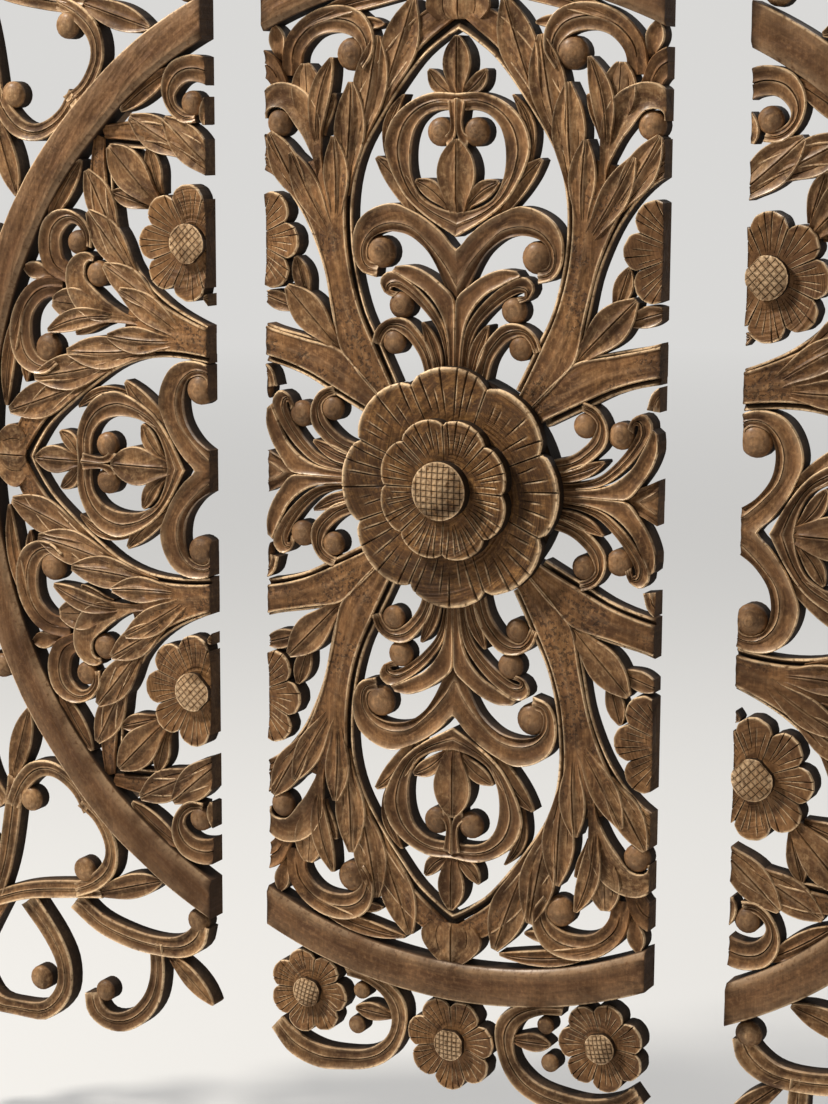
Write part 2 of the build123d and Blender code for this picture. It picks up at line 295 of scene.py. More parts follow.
def drop_walls(bm: bmesh.types.BMesh, foot: float = 0.0, shoulder: float = 2.2) -> None:
    """Give an open relief surface sawn walls down to its foot and close its back.

    Args:
        bm: Relief surface with one open border.
        foot: Height of the foot above the board's back, in mm.
        shoulder: Depth of the wall's upper strip, which gets less wax and painted shade.
    """
    wear, wax_and_shade, pits = mask_layers(bm)
    rim = [e for e in bm.edges if e.is_boundary]
    # Walls darken downward: wax with painted shade for the deep openings.
    for depth, wall_wax_and_shade in ((shoulder, 0.8), (None, 1.0)):
        grown = bmesh.ops.extrude_edge_only(bm, edges=rim)["geom"]
        for vert in (g for g in grown if isinstance(g, bmesh.types.BMVert)):
            vert.co.y = vert.co.y + depth * MM if depth else -(BOARD_BACK + foot) * MM
            vert[wear], vert[wax_and_shade], vert[pits] = 0.0, wall_wax_and_shade, 0.0
        rim = [g for g in grown if isinstance(g, bmesh.types.BMEdge) and g.is_boundary]
    # Triangles made before the waver hold their shape; a wavered many-sided back may fold over itself.
    back = bmesh.ops.holes_fill(bm, edges=rim, sides=0)["faces"]
    bmesh.ops.triangulate(bm, faces=back)


@dataclass
class Piece:
    """A closed relief piece and how it is repeated."""

    repeat: Repeat = Repeat.EIGHTHS

    def carve(self, bm: bmesh.types.BMesh) -> None:
        """Shape the piece in an empty bmesh."""
        raise NotImplementedError

    def mesh(self) -> bpy.types.Mesh:
        """The carved piece as a mesh.

        Returns:
            The mesh, in metres.
        """
        bm = bmesh.new()
        mask_layers(bm)
        flow_layer(bm)
        self.carve(bm)
        bmesh.ops.recalc_face_normals(bm, faces=bm.faces[:])
        made = bpy.data.meshes.new("relief_piece")
        bm.to_mesh(made)
        bm.free()
        return made


@dataclass
class Strap(Piece):
    """Relief piece lofted between two drawn rails.

    level holds its height above the board's back at its start, middle and end, in mm. The sinks
    lower an end, so that the piece grows out of what lies over it there.
    """

    first: Sequence[Point] = ()
    second: Sequence[Point] = ()
    cut: Cut = Cut.SCROLL
    level: tuple[float, float, float] = (19.5, 20.5, 20.0)
    stations: int = 22
    pits: float = 0.15
    foot: float = 0.0
    sink_start: float = 0.0
    sink_end: float = 0.0

    def height(self, share: float) -> float:
        """Level at a place along the strap.

        Args:
            share: Place along the strap, from 0 to 1.

        Returns:
            Height above the board's back, in mm.
        """
        start, middle, end = self.level
        if share < 0.5:
            level = start + (middle - start) * swell(0, 0.5, share)
        else:
            level = middle + (end - middle) * swell(0.5, 1, share)
        return level - self.sink_start * swell(0.24, 0, share) - self.sink_end * swell(0.16, 0, 1 - share)

    def rim_wear_and_highlight(self, width: float, share: float) -> float:
        """How bare the rims are rubbed, with a painted highlight on top, at a place along the strap.

        Args:
            width: Width of the strap there, in mm.
            share: Place along the strap, from 0 to 1.

        Returns:
            Factor from 0 to 1.
        """
        bare_and_lit = 1.0 if self.cut is Cut.BEAD else min(1.0, max(0.2, (width - 3) / 9))
        if self.sink_start > 1:
            bare_and_lit *= swell(0.16, 0.42, share)
        if self.sink_end > 1:
            bare_and_lit *= swell(0.08, 0.3, 1 - share)
        return bare_and_lit

    def carve(self, bm: bmesh.types.BMesh) -> None:
        """Warp a grid between the rails, cut the profile and drop the walls.

        Args:
            bm: Empty bmesh that takes the strap.
        """
        wear, wax_and_shade, pits = mask_layers(bm)
        flow = flow_layer(bm)
        grooves = self.cut.value
        last, end = len(grooves) - 1, self.stations - 1
        near, far = through(self.first, self.stations, 0.9), through(self.second, self.stations, 0.9)
        length = sum((near[i + 1] - near[i]).length for i in range(end))
        number = own_number(*self.first[0])
        bmesh.ops.create_grid(bm, x_segments=last, y_segments=end, size=1)
        for vert in bm.verts:
            k, s = round((vert.co.x + 1) / 2 * last), round((vert.co.y + 1) / 2 * end)
            groove, share = grooves[k], s / end
            across = far[s] - near[s]
            width = max(across.length, 0.01)
            tight = min(1.0, width / NARROW)
            deep = tight if groove.wear > 0.5 or width < BROAD or self.cut is Cut.ARM else min(1.4, width / BROAD)
            aside = min(1.0, max(0.0, groove.share + groove.inset * tight / width))
            place = near[s] + across * aside
            fade, bare_and_lit = groove.fade(share), self.rim_wear_and_highlight(width, share)
            kept = 0.55 if groove.reach < 1 else 0.3
            lift = groove.lift * (deep if groove.lift < -1 else 1) * (kept + (1 - kept) * fade if groove.fades else 1)
            vert[wear], vert[wax_and_shade] = groove.wear * bare_and_lit, groove.wax_and_shade * fade * min(1, width / 6)
            blunt = (s == 0 and not self.sink_start) or (s == end and not self.sink_end)
            beside = (s == 1 and not self.sink_start) or (s == end - 1 and not self.sink_end)
            # Blunt ends and the row beside them get a lighter rim: wear with a painted highlight.
            if blunt:
                lift, vert[wear], vert[wax_and_shade] = min(lift, -1.5), max(vert[wear], 0.5), 0.0
            elif beside:
                vert[wear] = max(vert[wear], 0.6)
            vert[pits] = self.pits
            vert[flow] = (share * length * MM, aside * width * MM, number)
            vert.co = spot(place.x, place.y, self.height(share) + lift)
        drop_walls(bm, self.foot)


FRONT, UPPER, MIDDLE = (19.8, 20.9, 20.3), (19.4, 20.2, 19.6), (19.0, 19.6, 19.0)
LOWER, BACK = (18.4, 19.0, 18.4), (16.8, 17.4, 17.0)
LEAF_FORM = ((0.0, 0.34), (0.2, 0.62), (0.42, 0.93), (0.6, 1.0), (0.78, 0.82), (0.92, 0.46), (1.0, 0.16))
FROND_FORM = ((0.0, 0.30), (0.25, 0.58), (0.45, 0.9), (0.62, 1.0), (0.8, 0.78), (0.93, 0.42), (1.0, 0.2))
SHIELD_FORM = ((0.0, 0.72), (0.2, 0.98), (0.45, 0.96), (0.68, 0.72), (0.86, 0.42), (1.0, 0.12))
BLUNT_FORM = ((0.0, 0.6), (0.25, 0.92), (0.5, 1.0), (0.72, 0.86), (0.9, 0.55), (1.0, 0.28))


def leaf(base: Point, tip: Point, width: float, bend: float = 0.0, repeat: Repeat = Repeat.EIGHTHS,
         level: tuple[float, float, float] = (19.4, 20.4, 19.8), cut: Cut = Cut.LEAF,
         form: Sequence[Point] = LEAF_FORM, sink: float = 3.2) -> Strap:
    """Leaf from its base to its tip.

    Args:
        base: Start of the mid vein, in mm.
        tip: End of the mid vein, in mm.
        width: Widest span, in mm.
        bend: Sideways bow of the mid vein, in mm.
        repeat: How often it comes back round the mandala.
        level: Heights at base, belly and tip.
        cut: Cutting profile.
        form: Half widths along the leaf as shares of the widest.
        sink: How far the base dips under what it grows from.

    Returns:
        The leaf, ready to carve.
    """
    start, end = Vector(base), Vector(tip)
    along = end - start
    side = Vector((-along.y, along.x)).normalized()
    left, right = [], []
    for share, spread in form:
        middle = start + along * share + side * bend * 4 * share * (1 - share)
        left.append(tuple(middle + side * spread * width / 2))
        right.append(tuple(middle - side * spread * width / 2))
    return Strap(repeat, left, right, cut, level, stations=20, pits=0.25, sink_start=sink)


@dataclass
class Turned(Piece):
    """Piece of revolution about an axis that stands on the board, from a short outline."""

    x: float = 0.0
    z: float = 0.0
    outline: Sequence[tuple[float, float, float, float]] = ()
    steps: int = 20

    def carve(self, bm: bmesh.types.BMesh) -> None:
        """Spin the outline, given as radius, height, wear with a painted highlight, and wax with painted shade, once
        round its axis.

        Args:
            bm: Empty bmesh that takes the turned piece.
        """
        wear, wax_and_shade, pits = mask_layers(bm)
        chain = []
        for radius, height, worn, dark in self.outline:
            vert = bm.verts.new(spot(self.x + radius, self.z, height))
            vert[wear], vert[wax_and_shade], vert[pits] = worn, dark, 0.3
            chain.append(vert)
        edges = [bm.edges.new(pair) for pair in zip(chain, chain[1:])]
        bmesh.ops.spin(bm, geom=chain + edges, cent=spot(self.x, self.z, 0), axis=(0, 1, 0), angle=math.tau,
                       steps=self.steps, use_merge=True)
        bmesh.ops.remove_doubles(bm, verts=bm.verts[:], dist=WELD)
        flow, middle = flow_layer(bm), spot(self.x, self.z, 0)
        for vert in bm.verts:
            arm = vert.co - middle
            reach = math.hypot(arm.x, arm.z)
            vert[flow] = (abs(math.atan2(arm.z, arm.x)) * reach, reach, own_number(self.x, self.z))


def ball(x: float, z: float, radius: float) -> Turned:
    """Volute eye: a rounded ball on a sawn post.

    Args:
        x: Sideways place of its axis, in mm.
        z: Upright place of its axis, in mm.
        radius: Radius of the ball and its post, in mm.

    Returns:
        The ball, ready to carve.
    """
    dome = radius * 0.55
    arcs = [(radius * math.sin(a), BALL_TOP - dome * (1 - math.cos(a)), 0.22 * math.cos(a), 0.12 * math.sin(a))
            for a in (math.radians(d) for d in (0, 16, 32, 48, 62, 76))]
    # The post under the dome darkens downward: wax with painted shade.
    skirt = [(radius, BALL_TOP - dome * 1.02, 0.0, 0.4), (radius, BALL_TOP - dome * 1.3, 0.0, 0.9),
             (radius, 0, 0, 1), (0, 0, 0, 1)]
    return Turned(Repeat.EIGHTHS, x, z, arcs + skirt)


# Cuts of a petal disc: place across in nicks, depth (in mm for a seam, a share for a ray) and wear with a painted
# highlight, lighter on one edge of a ray.
SEAM = ((-5, 0, 0), (-2, 0, 0.6), (-0.7, 3.4, 0), (0.7, 3.4, 0), (2, 0, 0.6), (5, 0, 0))
RAY = ((-3.2, 0, 0), (-1.6, 0, 0.85), (0, 1, 0), (1.3, 0, 0.2), (2.8, 0, 0))
PETAL_RINGS = (0.3, 0.4, 0.5, 0.58, 0.66, 0.73, 0.79, 0.85, 0.9, 0.945, 0.972, 0.988, 1.0)


@dataclass
class PetalDisc(Piece):
    """Round of dished petals with chiselled rays, as on the rosette and the carved flowers."""

    x: float = 0.0
    z: float = 0.0
    radius: float = 100.0
    petals: int = 8
    turn: float = 90.0
    notch: float = 12.0
    top: float = 33.0
    foot: float = 21.0
    dish: float = 4.0
    rays: int = 6
    inner: float = 0.15
    seam_from: float = 0.4
    ray_from: float = 0.5
    seed: int = 1
    stroke: float = 1.0

    def spokes(self) -> list[tuple[float, float, float, float, float, float]]:
        """Spokes of the grid, with the seams and rays that are cut along them.

        Returns:
            Angle, depth and wear (with a painted highlight) of the cut, where it starts and stops, and its bend, for
            each spoke.
        """
        rng = random.Random(self.seed)
        step, nick = math.tau / self.petals, NICK / self.radius
        spokes = []
        for petal in range(self.petals):
            start = math.radians(self.turn) + (petal - 0.5) * step + rng.uniform(-0.015, 0.015)
            low = self.seam_from + rng.uniform(-0.04, 0.04)
            spokes += [(start + nick * k, deep, worn, low, 2, 0) for k, deep, worn in SEAM]
            for ray in range(self.rays):
                share = (ray + 1 + rng.uniform(-0.22, 0.22)) / (self.rays + 1)
                angle, bend = start + step * share, (share - 0.5) * rng.uniform(0.25, 0.7) * step
                depth, low = rng.uniform(1.4, 2.6), self.ray_from + rng.uniform(-0.05, 0.09)
                high = rng.uniform(0.84, 0.96)
                spokes += [(angle + nick * k * self.stroke, depth * deep, worn, low, high, bend)
                           for k, deep, worn in RAY]
        return spokes

    def reach(self, angle: float) -> float:
        """Radius of the outline at an angle, in mm."""
        part = ((angle - math.radians(self.turn)) / math.tau * self.petals + 0.5) % 1.0
        return self.radius - self.notch * (1 - abs(math.sin(math.pi * part)) ** 0.55)

    def carve(self, bm: bmesh.types.BMesh) -> None:
        """Wrap a grid round the middle, dish and score it, and drop the walls.

        Args:
            bm: Empty bmesh that takes the disc.
        """
        wear, wax_and_shade, pits = mask_layers(bm)
        flow = flow_layer(bm)
        spokes = self.spokes()
        rings = (self.inner, *PETAL_RINGS)
        last, end = len(spokes), len(rings) - 1
        bmesh.ops.create_grid(bm, x_segments=last, y_segments=end, size=1)
        for vert in bm.verts:
            k, s = round((vert.co.x + 1) / 2 * last) % last, round((vert.co.y + 1) / 2 * end)
            angle, depth, worn, low, high, bend = spokes[k]
            share = rings[s]
            radius = self.reach(angle) * share
            turned = angle + bend * (share - 0.9)
            ends = 0.75 if depth > OPEN_DEPTH else 1 - swell(high - 0.1, high, share)
            cut = depth * swell(low - 0.08, low + 0.1, share) * ends
            hollow = self.dish * (0.5 * math.sin(math.pi * min(1, share / 0.98)) ** 2 + 0.5 * (1 - share) ** 1.5)
            drawn = swell(low, low + 0.1, share) * (1 - swell(high - 0.08, high + 0.02, share))
            # Rims lighter: wear with a painted highlight. Cuts and the ring round the button darker: wax with painted
            # shade.
            vert[wear] = 0.4 if s == end - 2 else 1.0 if s >= end - 1 else worn * drawn
            vert[wax_and_shade] = min(1.0, cut * 0.75) + (0.5 if s == 0 else 0.0)
            if cut > 0.3:
                vert[wear] = 0.0 if s < end - 1 else 0.5
            vert[pits] = 0.25
            vert[flow] = (radius * MM, angle * radius * MM * 0.5, own_number(self.x, self.z))
            vert.co = spot(self.x + radius * math.cos(turned), self.z + radius * math.sin(turned),
                           self.top - hollow - cut - (1.4 if s == end else 0.0))
        bmesh.ops.remove_doubles(bm, verts=bm.verts[:], dist=WELD)
        self.close_middle(bm)
        drop_walls(bm, self.foot)

    def close_middle(self, bm: bmesh.types.BMesh) -> None:
        """Fill the small round hole that the button covers.

        Args:
            bm: The disc's open surface.
        """
        middle = spot(self.x, self.z, 0)
        near = self.radius * (self.inner + 0.1) * MM
        hole = [e for e in bm.edges if e.is_boundary and all(
            math.hypot(v.co.x - middle.x, v.co.z - middle.z) < near for v in e.verts)]
        bmesh.ops.holes_fill(bm, edges=hole, sides=0)


@dataclass
class HatchedButton(Piece):
    """Domed button scored with a square lattice, inside a bare rim."""

    x: float = 0.0
    z: float = 0.0
    radius: float = 27.0
    top: float = 54.0
    foot: float = 44.0
    pitch: float = 6.0
    dome: float = 2.0
    depth: float = 1.3
    turn: float = 0.0
    facets: int = 28

    def lines(self) -> list[tuple[float, float]]:
        """Grid lines of the lattice.

        Returns:
            Place and share of the cut's depth for each line, negative between two cuts.
        """
        made, reach = [], self.radius + 2
        count = int(reach // self.pitch)
        for k in range(-count, count + 1):
            at = k * self.pitch
            made += [(at - NICK, 0.0), (at, 1.0), (at + NICK, 0.0), (at + self.pitch / 2, -1.0)]
        return made

    def carve(self, bm: bmesh.types.BMesh) -> None:
        """Score a square grid, trim it round and drop the walls.

        Args:
            bm: Empty bmesh that takes the button.
        """
        wear, wax_and_shade, pits = mask_layers(bm)
        lines = self.lines()
        last = len(lines) - 1
        bmesh.ops.create_grid(bm, x_segments=last, y_segments=last, size=1)
        turn = Matrix.Rotation(math.radians(self.turn), 2)
        for vert in bm.verts:
            (x, a), (z, b) = (lines[round((c + 1) / 2 * last)] for c in (vert.co.x, vert.co.y))
            place = turn @ Vector((x, z))
            share = place.length / self.radius
            cut = max(a, b, 0.0) * (1 - swell(0.90, 0.97, share))
            # Cell tops lighter, grooves darker: wear with a painted highlight and wax with painted shade.
            vert[wear] = 0.75 if max(a, b) < 0 else 0.45
            vert[wax_and_shade] = cut
            vert.co = spot(self.x + place.x, self.z + place.y,
                           self.top - self.dome * share * share - self.depth * cut)
        middle = spot(self.x, self.z, self.top)
        for k in range(self.facets):
            angle = math.tau * k / self.facets
            out = Vector((math.cos(angle), 0, math.sin(angle)))
            bmesh.ops.bisect_plane(bm, geom=bm.verts[:] + bm.edges[:] + bm.faces[:], dist=ON_PLANE,
                                   plane_co=middle + out * self.radius * MM, plane_no=out, clear_outer=True)
        for vert in {v for e in bm.edges if e.is_boundary for v in e.verts}:
            vert[wear], vert[wax_and_shade] = 1.0, 0.0
        drop_walls(bm, self.foot, 1.6)


@dataclass
class ReliefGroup:
    """Relief pieces of one kind over the whole mandala, and their finish."""

    name: str
    finish: WoodFinish
    pieces: list[Piece] = field(default_factory=list)
    sag: float = 0.35
    drift: float = 0.8

    def placements(self, repeat: Repeat) -> list[Matrix]:
        """Turns and mirrors that bring a drawn piece to all its places.

        Args:
            repeat: How often the piece comes back.

        Returns:
            One matrix for each place.
        """
        turns = [Matrix.Rotation(math.radians(90 * k), 4, "Y") for k in range(4)]
        if repeat is Repeat.ONCE:
            return turns[:1]
        if repeat is Repeat.QUARTERS:
            return turns
        return turns + [turn @ Matrix.Scale(-1, 4, (1, 0, 0)) for turn in turns]

    def hand_waver(self, bm: bmesh.types.BMesh) -> None:
        """Let outlines and depths waver as a hand-held chisel does.

        Args:
            bm: Placed piece in metres, which is moved.
        """
        for vert in bm.verts:
            place = Vector((vert.co.x * 9, vert.co.z * 9, 0.0))
            drift = noise.noise_vector(place) * self.drift * MM
            out = -(vert.co.y) / MM - BOARD_BACK
            vert.co.x += drift.x
            vert.co.z += drift.y
            if out > 6:
                vert.co.y += noise.noise(Vector((vert.co.x * 30, vert.co.z * 30, 5.0))) * self.sag * MM

    def split(self) -> dict[Panel, bmesh.types.BMesh]:
        """Place every piece, saw it at the two saw lines and sort the parts by board.

        Each piece stays a hair shy of the saw lines and of the back, so that no two faces coincide.

        Returns:
            One bmesh for each board.
        """
        boards = {panel: bmesh.new() for panel in Panel}
        spans = {Panel.LEFT: (-9e9, -SAW_LINE), Panel.CENTRE: (-SAW_LINE, SAW_LINE), Panel.RIGHT: (SAW_LINE, 9e9)}
        for bm in boards.values():
            mask_layers(bm)
            flow_layer(bm)
        rng = random.Random(self.name)
        for piece in self.pieces:
            mesh = piece.mesh()
            for number, place in enumerate(self.placements(piece.repeat)):
                whole = bmesh.new()
                whole.from_mesh(mesh)
                whole.transform(place)
                flow, shy = flow_layer(whole), rng.uniform(0.0, SHY)
                for vert in whole.verts:
                    vert[flow].z += 0.37 * number
                    if vert.co.y > -(BOARD_BACK + ON_BACK) * MM:
                        vert.co.y -= shy * MM
                self.hand_waver(whole)
                low, high = (f(v.co.x for v in whole.verts) / MM for f in (min, max))
                for panel, (start, end) in spans.items():
                    if high > start + SLIVER and low < end - SLIVER:
                        self.saw_into(boards[panel], whole, max(start + shy, low - SAW_SPARE),
                                      min(end - shy, high + SAW_SPARE))
                whole.free()
            bpy.data.meshes.remove(mesh)
        return boards

    def saw_into(self, board: bmesh.types.BMesh, whole: bmesh.types.BMesh, start: float, end: float) -> None:
        """Add what lies between two saw lines to a board.

        Args:
            board: Bmesh that takes the part.
            whole: The uncut piece, which stays as it is.
            start: Left saw line in mm.
            end: Right saw line in mm.
        """
        part = whole.copy()
        wear, wax_and_shade, _ = mask_layers(part)
        for at, side in ((start, -1), (end, 1)):
            bmesh.ops.bisect_plane(part, geom=part.verts[:] + part.edges[:] + part.faces[:], dist=ON_PLANE,
                                   plane_co=(at * MM, 0, 0), plane_no=(side, 0, 0), clear_outer=True)
            edges = [e for e in part.edges if e.is_boundary]
            # Sawn faces get wax and painted shade, and no rubbed highlight.
            for vert in {v for e in edges for v in e.verts}:
                vert[wax_and_shade], vert[wear] = SAWN_WAX_AND_SHADE, 0.0
            bmesh.ops.holes_fill(part, edges=edges, sides=0)
        bmesh.ops.recalc_face_normals(part, faces=part.faces[:])
        carrier = bpy.data.meshes.new("sawn_part")
        part.to_mesh(carrier)
        part.free()
        board.from_mesh(carrier)
        bpy.data.meshes.remove(carrier)

    def build(self) -> list[bpy.types.Object]:
        """Make one object for each board and put it where the board hangs.

        Returns:
            The new objects.
        """
        made = []
        for panel, bm in self.split().items():
            shift, drop = panel.value
            low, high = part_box(panel.node)
            bmesh.ops.translate(bm, verts=bm.verts[:], vec=(shift * MM, 0, drop * MM))
            for vert in bm.verts:
                vert.co = Vector(min(max(c, a), b) for c, a, b in zip(vert.co, low, high))
            piece = finish_object(bm, f"{panel.name.lower()}_{self.name}")
            piece.data.materials.append(wood(self.finish))
            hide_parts(panel.node)
            made.append(piece)
        return made


def finish_object(bm: bmesh.types.BMesh, name: str) -> bpy.types.Object:
    """Turn a bmesh into a shown piece that rides on the set.

    Args:
        bm: Finished geometry in metres, which is freed.
        name: Name of the piece.

    Returns:
        The new object.
    """
    mesh = bpy.data.meshes.new(name)
    bm.to_mesh(mesh)
    bm.free()
    mesh.shade_smooth()
    mesh.set_sharp_from_angle(angle=CREASE)
    piece = bpy.data.objects.new(name, mesh)
    bpy.context.scene.collection.objects.link(piece)
    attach(piece, "root")
    triangles = sum(len(p.vertices) - 2 for p in mesh.polygons)
    log.info("%s: %d triangles", name, triangles)
    return piece


class Graph:
    """Short hand for adding and linking shader nodes."""

    def __init__(self, tree: bpy.types.NodeTree) -> None:
        """Work on a node tree."""
        self.tree = tree

    def add(self, kind: str, inputs: dict | None = None, **settings: object) -> bpy.types.Node:
        """Add a node.

        Args:
            kind: Blender's node type.
            inputs: Values or sockets by input name or number.
            **settings: Properties of the node.

        Returns:
            The node.
        """
        node = self.tree.nodes.new(kind)
        for key, value in settings.items():
            setattr(node, key, value)
        for key, value in (inputs or {}).items():
            if isinstance(value, bpy.types.NodeSocket):
                self.tree.links.new(value, node.inputs[key])
            else:
                node.inputs[key].default_value = value
        return node

    def maths(self, operation: str, a: object, b: object = 0.0, clamp: bool = False) -> bpy.types.NodeSocket:
        """Result of one sum on two values or sockets."""
        return self.add("ShaderNodeMath", {0: a, 1: b}, operation=operation, use_clamp=clamp).outputs[0]

    def ramp(self, value: bpy.types.NodeSocket, low: float, high: float) -> bpy.types.NodeSocket:
        """Value stretched from low..high to 0..1."""
        return self.add("ShaderNodeMapRange", {"Value": value, "From Min": low, "From Max": high}).outputs[0]

    def blend(self, factor: object, a: object, b: object) -> bpy.types.NodeSocket:
        """Two colours mixed by a factor.

        Args:
            factor: Share of the second colour, as a value or a socket.
            a: First colour, as three values or a socket.
            b: Second colour, as three values or a socket.

        Returns:
            The mixed colour.
        """
        first, second = (c if isinstance(c, bpy.types.NodeSocket) else (*c, 1) for c in (a, b))
        return self.add("ShaderNodeMix", {0: factor, 6: first, 7: second}, data_type="RGBA").outputs[2]

    def noise(self, place: bpy.types.NodeSocket, scale: object, detail: float = 2.0, roughness: float = 0.5,
              distortion: float = 0.0) -> bpy.types.NodeSocket:
        """Cloudy noise from 0 to 1 at a place."""
        return self.add("ShaderNodeTexNoise", {"Vector": place, "Scale": scale, "Detail": detail,
                                               "Roughness": roughness, "Distortion": distortion}).outputs[0]

    def stretch(self, place: bpy.types.NodeSocket, scale: tuple[float, float, float]) -> bpy.types.NodeSocket:
        """Coordinates multiplied along each axis."""
        return self.add("ShaderNodeMapping", {"Vector": place, "Scale": scale}).outputs[0]

    def mask(self, name: str) -> bpy.types.NodeSocket:
        """Vertex attribute that holds one value."""
        return self.add("ShaderNodeAttribute", attribute_name=name).outputs["Fac"]


def new_group(name: str, inputs: dict[str, str], outputs: dict[str, str]) -> tuple[bpy.types.NodeTree, Graph]:
    """Empty shader node group with named sockets.

    Args:
        name: Name of the group.
        inputs: Socket types by input name.
        outputs: Socket types by output name.

    Returns:
        The group and its graph.
    """
    tree = bpy.data.node_groups.new(name, "ShaderNodeTree")
    for in_out, sockets in (("INPUT", inputs), ("OUTPUT", outputs)):
        for socket, kind in sockets.items():
            tree.interface.new_socket(socket, in_out=in_out, socket_type=f"NodeSocket{kind}")
    return tree, Graph(tree)


def new_material(name: str) -> tuple[bpy.types.Material, Graph]:
    """Material with an empty node tree.

    Args:
        name: Name of the material.

    Returns:
        The material and its graph.
    """
    material = bpy.data.materials.new(name)
    material.use_nodes = True
    g = Graph(material.node_tree)
    g.tree.nodes.clear()
    return material, g


def wood_figure_group() -> bpy.types.NodeTree:
    """Node group for the wood's cloudy figure, chisel streaks, long grain and open pits.

    Returns:
        The group, which gives a colour, a height and the pores.
    """
    tree, g = new_group(
        "wood_figure",
        {"Coordinates": "Vector", "Flow": "Vector", "Figure Size": "Float", "Heart": "Color", "Light": "Color",
         "Dark": "Color", "Pore": "Float", "Pit Mask": "Float"},
        {"Colour": "Color", "Height": "Float", "Pores": "Float"})
    place, flow, size, heart, light, dark, pore, pit_mask = g.add("NodeGroupInput").outputs[:8]
    clouds = g.noise(place, size, 4.0, 0.6, distortion=0.7)
    broad = g.noise(place, 7.0)
    streaks = g.noise(g.stretch(flow, (0.11, 1.0, 1.0)), 330.0, roughness=0.6)
    fibre = g.noise(g.stretch(place, (1.0, 1.0, 0.06)), 520.0, roughness=0.7)
    fine = g.noise(place, 210.0, 3.0, 0.65)
    tone = g.blend(g.ramp(clouds, 0.36, 0.60), dark, heart)
    for source, low, high, share, colour in (
            (streaks, 0.50, 0.70, 0.35, light), (streaks, 0.46, 0.30, 0.35, dark), (fine, 0.50, 0.72, 0.6, light),
            (fine, 0.46, 0.30, 0.5, dark), (fibre, 0.56, 0.38, 0.35, dark), (broad, 0.55, 0.33, 0.6, dark)):
        tone = g.blend(g.maths("MULTIPLY", g.ramp(source, low, high), share), tone, colour)
    cells = g.noise(place, 290.0, roughness=0.6)
    patch = g.noise(place, 21.0)
    pits = g.maths("MULTIPLY", g.ramp(cells, 0.46, 0.38), g.ramp(patch, 0.42, 0.56))
    pits = g.maths("MULTIPLY", pits, g.maths("MULTIPLY", pore, pit_mask), clamp=True)
    tone = g.blend(g.maths("MULTIPLY", pits, 0.62), tone, (0.014, 0.007, 0.003))
    height = g.maths("SUBTRACT", g.maths("MULTIPLY", fine, 0.7), g.maths("MULTIPLY", pits, 1.4))
    g.add("NodeGroupOutput", {"Colour": tone, "Height": height, "Pores": pits})
    return tree


def aged_edge_and_painted_light_group() -> bpy.types.NodeTree:
    """Node group that lays dark wax with painted shade in the cuts and on the walls, and rubs the rims bare with a
    painted highlight, from the two masks.

    Returns:
        The group, which gives a colour, a roughness and a sheen.
    """
    tree, g = new_group(
        "aged_edges_and_painted_light",
        {"Coordinates": "Vector", "Base": "Color", "Worn": "Color", "Wax": "Color", "Wear": "Float",
         "Roughness": "Float", "Polish": "Float"},
        {"Colour": "Color", "Roughness": "Float", "Sheen": "Float"})
    place, base, worn, wax, wear, roughness, polish = g.add("NodeGroupInput").outputs[:7]
    wear_and_highlight_mask, wax_and_shade_mask = g.mask("wear"), g.mask("wax_and_shade")
    patches, scuffs = g.noise(place, 30.0, 3.0), g.noise(place, 260.0)
    # Bare rims: real wear, brightened further to a painted highlight.
    rubbed_and_highlit = g.maths("POWER", wear_and_highlight_mask, 1.5)
    rubbed_and_highlit = g.maths("MULTIPLY", rubbed_and_highlit, g.ramp(patches, 0.27, 0.52))
    rubbed_and_highlit = g.maths("MULTIPLY", rubbed_and_highlit, g.ramp(scuffs, 0.25, 0.48))
    rubbed_and_highlit = g.maths("MULTIPLY", rubbed_and_highlit, wear, clamp=True)
    # Dark wax with painted shade in the cuts and on the walls.
    waxed_and_shaded = g.maths("MULTIPLY", wax_and_shade_mask, g.ramp(scuffs, 0.15, 0.35), clamp=True)
    waxed_and_shaded = g.maths("MAXIMUM", waxed_and_shaded, g.maths("MULTIPLY", wax_and_shade_mask, 0.9))
    depth = g.add("ShaderNodeSeparateXYZ", {"Vector": place}).outputs[1]
    bare_back = g.ramp(depth, -(BOARD_BACK + 0.7) * MM, -(BOARD_BACK + 0.3) * MM)
    waxed_and_shaded = g.maths("MULTIPLY", waxed_and_shaded, g.maths("SUBTRACT", 1.0, g.maths("MULTIPLY", bare_back, 0.75)))
    grime = g.maths("MULTIPLY", g.ramp(patches, 0.6, 0.38), 0.3)
    tone = g.blend(grime, base, wax)
    tone = g.blend(waxed_and_shaded, tone, wax)
    tone = g.blend(rubbed_and_highlit, tone, worn)
    rough = g.maths("ADD", roughness, g.maths("MULTIPLY", scuffs, 0.16))
    rough = g.add("ShaderNodeMix", {0: rubbed_and_highlit, 2: rough, 3: polish}, data_type="FLOAT").outputs[0]
    rough = g.add("ShaderNodeMix", {0: waxed_and_shaded, 2: rough, 3: 0.95}, data_type="FLOAT").outputs[0]
    sheen = g.maths("ADD", g.maths("MULTIPLY", rubbed_and_highlit, 0.4), g.maths("MULTIPLY", g.ramp(patches, 0.4, 0.65), 0.14))
    sheen = g.maths("MULTIPLY", sheen, g.maths("SUBTRACT", 1.0, waxed_and_shaded), clamp=True)
    g.add("NodeGroupOutput", {"Colour": tone, "Roughness": rough, "Sheen": sheen})
    return tree


